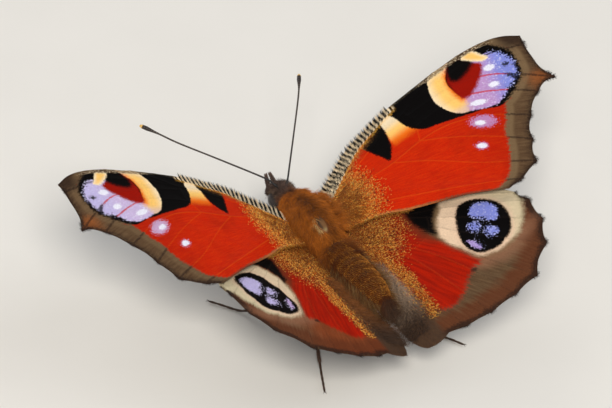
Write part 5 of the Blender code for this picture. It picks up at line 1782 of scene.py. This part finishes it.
    def barred(self, side: Side) -> None:
        """Black and cream tufts over the forewing's front edge."""
        draw = np.random.default_rng(77)
        front = curve_through([self.form.root[0], *self.form.costa], 60)
        line = evened(front, 400)
        run = np.linspace(0.0, np.linalg.norm(np.diff(front, axis=0), axis=1).sum(), 400)
        tangent = unit(np.gradient(line, axis=0))
        at = draw.integers(4, 172, self.costal)
        inward = np.stack((-tangent[at, 1], tangent[at, 0]), axis=1)
        deep = draw.uniform(0.02, 0.95, self.costal) * self.form.strip_depth(line[at, 0])
        places = line[at] + inward * deep[:, None]
        ridge, shift = self.form.relief(places, self.form.vein_distance(places))
        cream = np.sin(run[at] * math.tau / BAR_PERIOD)[:, None] > 0.0
        tint = np.where(cream, np.array(COLOURS.cream), np.array(COLOURS.black)) * draw.uniform(
            0.75, 1.1, (self.costal, 1))
        slant = -inward * 0.75 + tangent[at] * 0.35 + draw.normal(size=inward.shape) * 0.05
        aims = self.form.direction(*slant.T, draw.uniform(0.15, 0.45, self.costal), side)
        self.add("barred_tufts", side, places, shift + ridge + self.form.half_thickness * 0.6, aims,
                 draw.uniform(0.28, 0.42, self.costal) + 0.18 * smooth(deep, 0.35, 0.1),
                 np.full(self.costal, 0.036), tint, 1, 78)

    def fold_tint(self, places: Array, side: Side) -> Array:
        """Colour of the hindwing's folded inner edge: fox left and greyer right as painted light, dark at the
        tail.
        """
        late = smooth(places[:, 1], 10.5, 16.5)[:, None]
        # painted light: fox on the left side and greyer on the right side
        near = COLOURS.fox_fold if side is Side.LEFT else COLOURS.fold
        return blended(near, COLOURS.fold_end, late)

    def folded(self, side: Side) -> None:
        """Hair along the hindwing's folded inner edge, leaning in and up over the gap beside the abdomen."""
        draw = np.random.default_rng(79)
        inner = curve_through([self.form.margin[-1][0], *self.form.trail], 200)
        at = draw.integers(4, 200, self.fold)
        inward = 0.04 + 2.6 * draw.uniform(size=self.fold)**1.7
        sideways = draw.uniform(-0.1, 0.1, self.fold)
        places = inner[at] + np.stack((inward, sideways), axis=1)
        _, shift = self.form.relief(places, self.form.vein_distance(places))
        tint = self.fold_tint(places, side) * draw.uniform(0.6, 1.4, (self.fold, 1))
        aims = self.form.direction(-draw.uniform(0.1, 0.9, self.fold), draw.uniform(0.4, 1.0, self.fold),
                                   draw.uniform(0.15, 0.75, self.fold), side)
        length = draw.uniform(0.8, 1.5, self.fold) * (1 - 0.3 * smooth(places[:, 1], 15.5, 18.5))
        self.add("fold_hair", side, places, shift + self.form.half_thickness * 0.5, aims, length,
                 np.full(self.fold, 0.026), tint, 2, 80)

    def curtained(self, side: Side) -> None:
        """Hair along the forewing's hind edge near the body, over the step down to the hindwing."""
        draw = np.random.default_rng(81)
        hem = curve_through([self.form.root[1], *self.form.trail[::-1]], 200)
        at = draw.integers(0, 112, self.curtain)
        places = hem[at] + draw.uniform(-0.12, 0.12, (self.curtain, 2)) - (0.0, 0.15)
        _, shift = self.form.relief(places, self.form.vein_distance(places))
        mixed = draw.uniform(size=(self.curtain, 1))
        tint = blended(COLOURS.copper, COLOURS.gold, mixed)
        tint = tint * draw.uniform(0.4, 1.1, (self.curtain, 1))
        aims = self.form.direction(draw.uniform(-0.2, 0.9, self.curtain), np.ones(self.curtain),
                                   draw.uniform(-0.7, 0.1, self.curtain), side)
        self.add("hem_hair", side, places, shift, aims, draw.uniform(0.25, 0.55, self.curtain),
                 np.full(self.curtain, 0.026), tint, 2, 82)

    def build(self) -> None:
        """Every coat piece of both wings."""
        for side in Side:
            self.golden(side)
            self.rooted(side)
            self.fringed(side)
            if self.form.kind == "forewing":
                self.barred(side)
                self.curtained(side)
            else:
                self.folded(side)


# Stage and view

@dataclass
class Studio:
    """Plain pale floor, soft lights, and the camera at the photograph's angle and framing."""

    width_px: int = 612
    scale: float = 8.9935        # pixels to a millimetre across the view
    sensor: float = 36.0
    distance: float = 1.0
    forward: Triple = (-0.4695, -0.6596, -0.5870)
    upward: Triple = (-0.2756, -0.5221, 0.8071)
    aim: Triple = (1.289, -1.366, 11.813)     # millimetres, on the camera's axis
    floor_size: float = 6.0

    def camera(self) -> None:
        """Camera far off with a long lens, so that the view is nearly square on."""
        ahead = Vector(self.forward).normalized()
        up = Vector(self.upward)
        right = ahead.cross(up).normalized()
        up = right.cross(ahead).normalized()
        data = bpy.data.cameras.new("camera")
        data.sensor_width = self.sensor
        data.lens = self.sensor * self.distance / (self.width_px / self.scale * MM)
        data.clip_start, data.clip_end = 0.01, 20.0
        item = bpy.data.objects.new("camera", data)
        turn = Matrix((right, up, -ahead)).transposed()
        item.matrix_world = Matrix.Translation(Vector(self.aim) * MM - ahead * self.distance) @ turn.to_4x4()
        bpy.context.scene.collection.objects.link(item)
        bpy.context.scene.camera = item

    def lamp(self, name: str, place: Triple, size: float, energy: float,
             colour: Triple) -> None:
        """A square soft light that faces the butterfly."""
        data = bpy.data.lights.new(name, "AREA")
        data.size, data.energy, data.color = size, energy, colour
        item = bpy.data.objects.new(name, data)
        item.location = place
        item.rotation_euler = (Vector(self.aim) * MM - Vector(place)).to_track_quat("-Z", "Y").to_euler()
        bpy.context.scene.collection.objects.link(item)

    def floor(self) -> None:
        """Pale matt floor just under the feet, with a faint mottle."""
        half = self.floor_size / 2 / MM
        corners = np.array([(-half, -half, 0), (half, -half, 0), (half, half, 0), (-half, half, 0)], float)
        corners[:, 2] -= THORAX_HEIGHT + 0.01
        paint = Paint("floor", Roughness=0.85)
        mottle = paint.noise(paint.place(), 60.0, 3.0)
        item = make_mesh("floor", corners, [np.array([[0, 1, 2, 3]])],
                         [paint.finish(paint.mix(mottle, linear(230, 227, 221), linear(237, 234, 228)))])

    def build(self) -> None:
        """Floor, camera, three soft lights and a pale surround."""
        self.floor()
        self.camera()
        self.lamp("key", (0.36, 0.54, 0.60), 0.26, 6.4, (1.0, 0.96, 0.89))
        self.lamp("fill", (-0.65, 0.35, 0.50), 0.6, 1.8, (0.90, 0.95, 1.0))
        self.lamp("rim", (-0.15, -0.75, 0.45), 0.4, 1.6, (1.0, 0.98, 0.95))
        world = bpy.data.worlds.new("surround")
        world.use_nodes = True
        surround = world.node_tree.nodes["Background"]
        surround.inputs["Color"].default_value = (0.92, 0.94, 1.0, 1.0)
        surround.inputs["Strength"].default_value = 0.30
        bpy.context.scene.world = world
        bpy.context.scene.view_settings.view_transform = "Standard"


def skin_paint() -> Material:
    """Body skin: the coat's own colours, darker, with a dull shine where it is rubbed bare."""
    paint = Paint("body_skin", Specular_IOR_Level=0.35)
    bare = paint.number("bare").rise(0.0, 0.3)
    fine = paint.noise(paint.place(), 5000.0, 3.0)
    colour = paint.shade(paint.tint(), 0.45 + fine * 0.2 + bare * 0.45)
    return paint.finish(colour, 0.75 - bare * 0.3, fine, 0.04)


def fur_paint() -> Material:
    """Hair: its root's own colour, dark at the root and paler towards the tip, with a soft sheen."""
    paint = Paint("fur", Roughness=0.6, Sheen_Weight=0.03, Sheen_Roughness=0.4, Specular_IOR_Level=0.1)
    along, draw = paint.number("along"), paint.number("draw")
    colour = paint.shade(paint.tint(), 0.55 + along * 0.75 + draw * 0.25)
    return paint.finish(colour)


def eye_paint() -> Material:
    """Compound eye: near black brown with fine facets under a clear gloss."""
    paint = Paint("eye", Roughness=0.4, Coat_Weight=0.35, Coat_Roughness=0.12)
    facets = paint.node("ShaderNodeTexVoronoi", {}, {"Vector": paint.place(), "Scale": 16000.0})
    broad = paint.noise(paint.place(), 1400.0, 2.0)
    return paint.finish(paint.mix(broad, linear(15, 10, 9), linear(40, 26, 20)), height=facets, depth=0.02)


def chitin_paint() -> Material:
    """Bare dark shell of legs and tongue, with a dull shine."""
    paint = Paint("chitin", Roughness=0.42)
    fine = paint.noise(paint.place(), 3000.0, 3.0)
    return paint.finish(paint.mix(fine, linear(30, 20, 15), linear(84, 58, 38)), height=fine, depth=0.02)


def ringed_paint() -> Material:
    """Antenna: black with fine pale rings, and a pale tip to the club."""
    paint = Paint("antenna", Roughness=0.5)
    wave = (paint.number("run") * (math.tau / RING_PERIOD)).math("SINE")
    fine = paint.noise(paint.place(), 5000.0, 2.0)
    plain = paint.number("share").rise(0.93, 0.90) * paint.number("share").rise(0.25, 0.6)
    ring = (wave + fine * 0.3).rise(0.72, 1.05) * plain * 0.35
    paint.colour = paint.mix(ring, linear(40, 30, 25), linear(150, 132, 108))
    paint.lay(paint.number("share").rise(0.16, 0.08), linear(22, 17, 15))
    paint.lay((paint.number("share") + fine * 0.01).rise(0.982, 0.992), linear(236, 190, 104))
    return paint.finish(paint.colour, height=wave, depth=0.02)


def main() -> None:
    """Build every piece in order."""
    logging.basicConfig(level=logging.INFO, format="%(message)s")
    Studio().build()
    wing_paint = WingPaint(COLOURS)
    body = Body()
    body.build(skin_paint())
    coat = Coat(body, fur_paint())
    for zone in ZONES:
        coat.zone(zone)
    coat.bristles()
    eyes = eye_paint()
    for side in Side:
        EYE.build(side, eyes)
    Limbs(body, chitin_paint(), ringed_paint(), coat.material).build()
    faces = {"forewing": (wing_paint.forewing_upper(), wing_paint.under("forewing_under")),
             "hindwing": (wing_paint.hindwing_upper(), wing_paint.under("hindwing_under"))}
    for form in (Forewing(), Hindwing()):
        for side in Side:
            form.build(side, *faces[form.kind])
        WingCoat(form, coat.material).build()


if __name__ == "__main__":
    main()
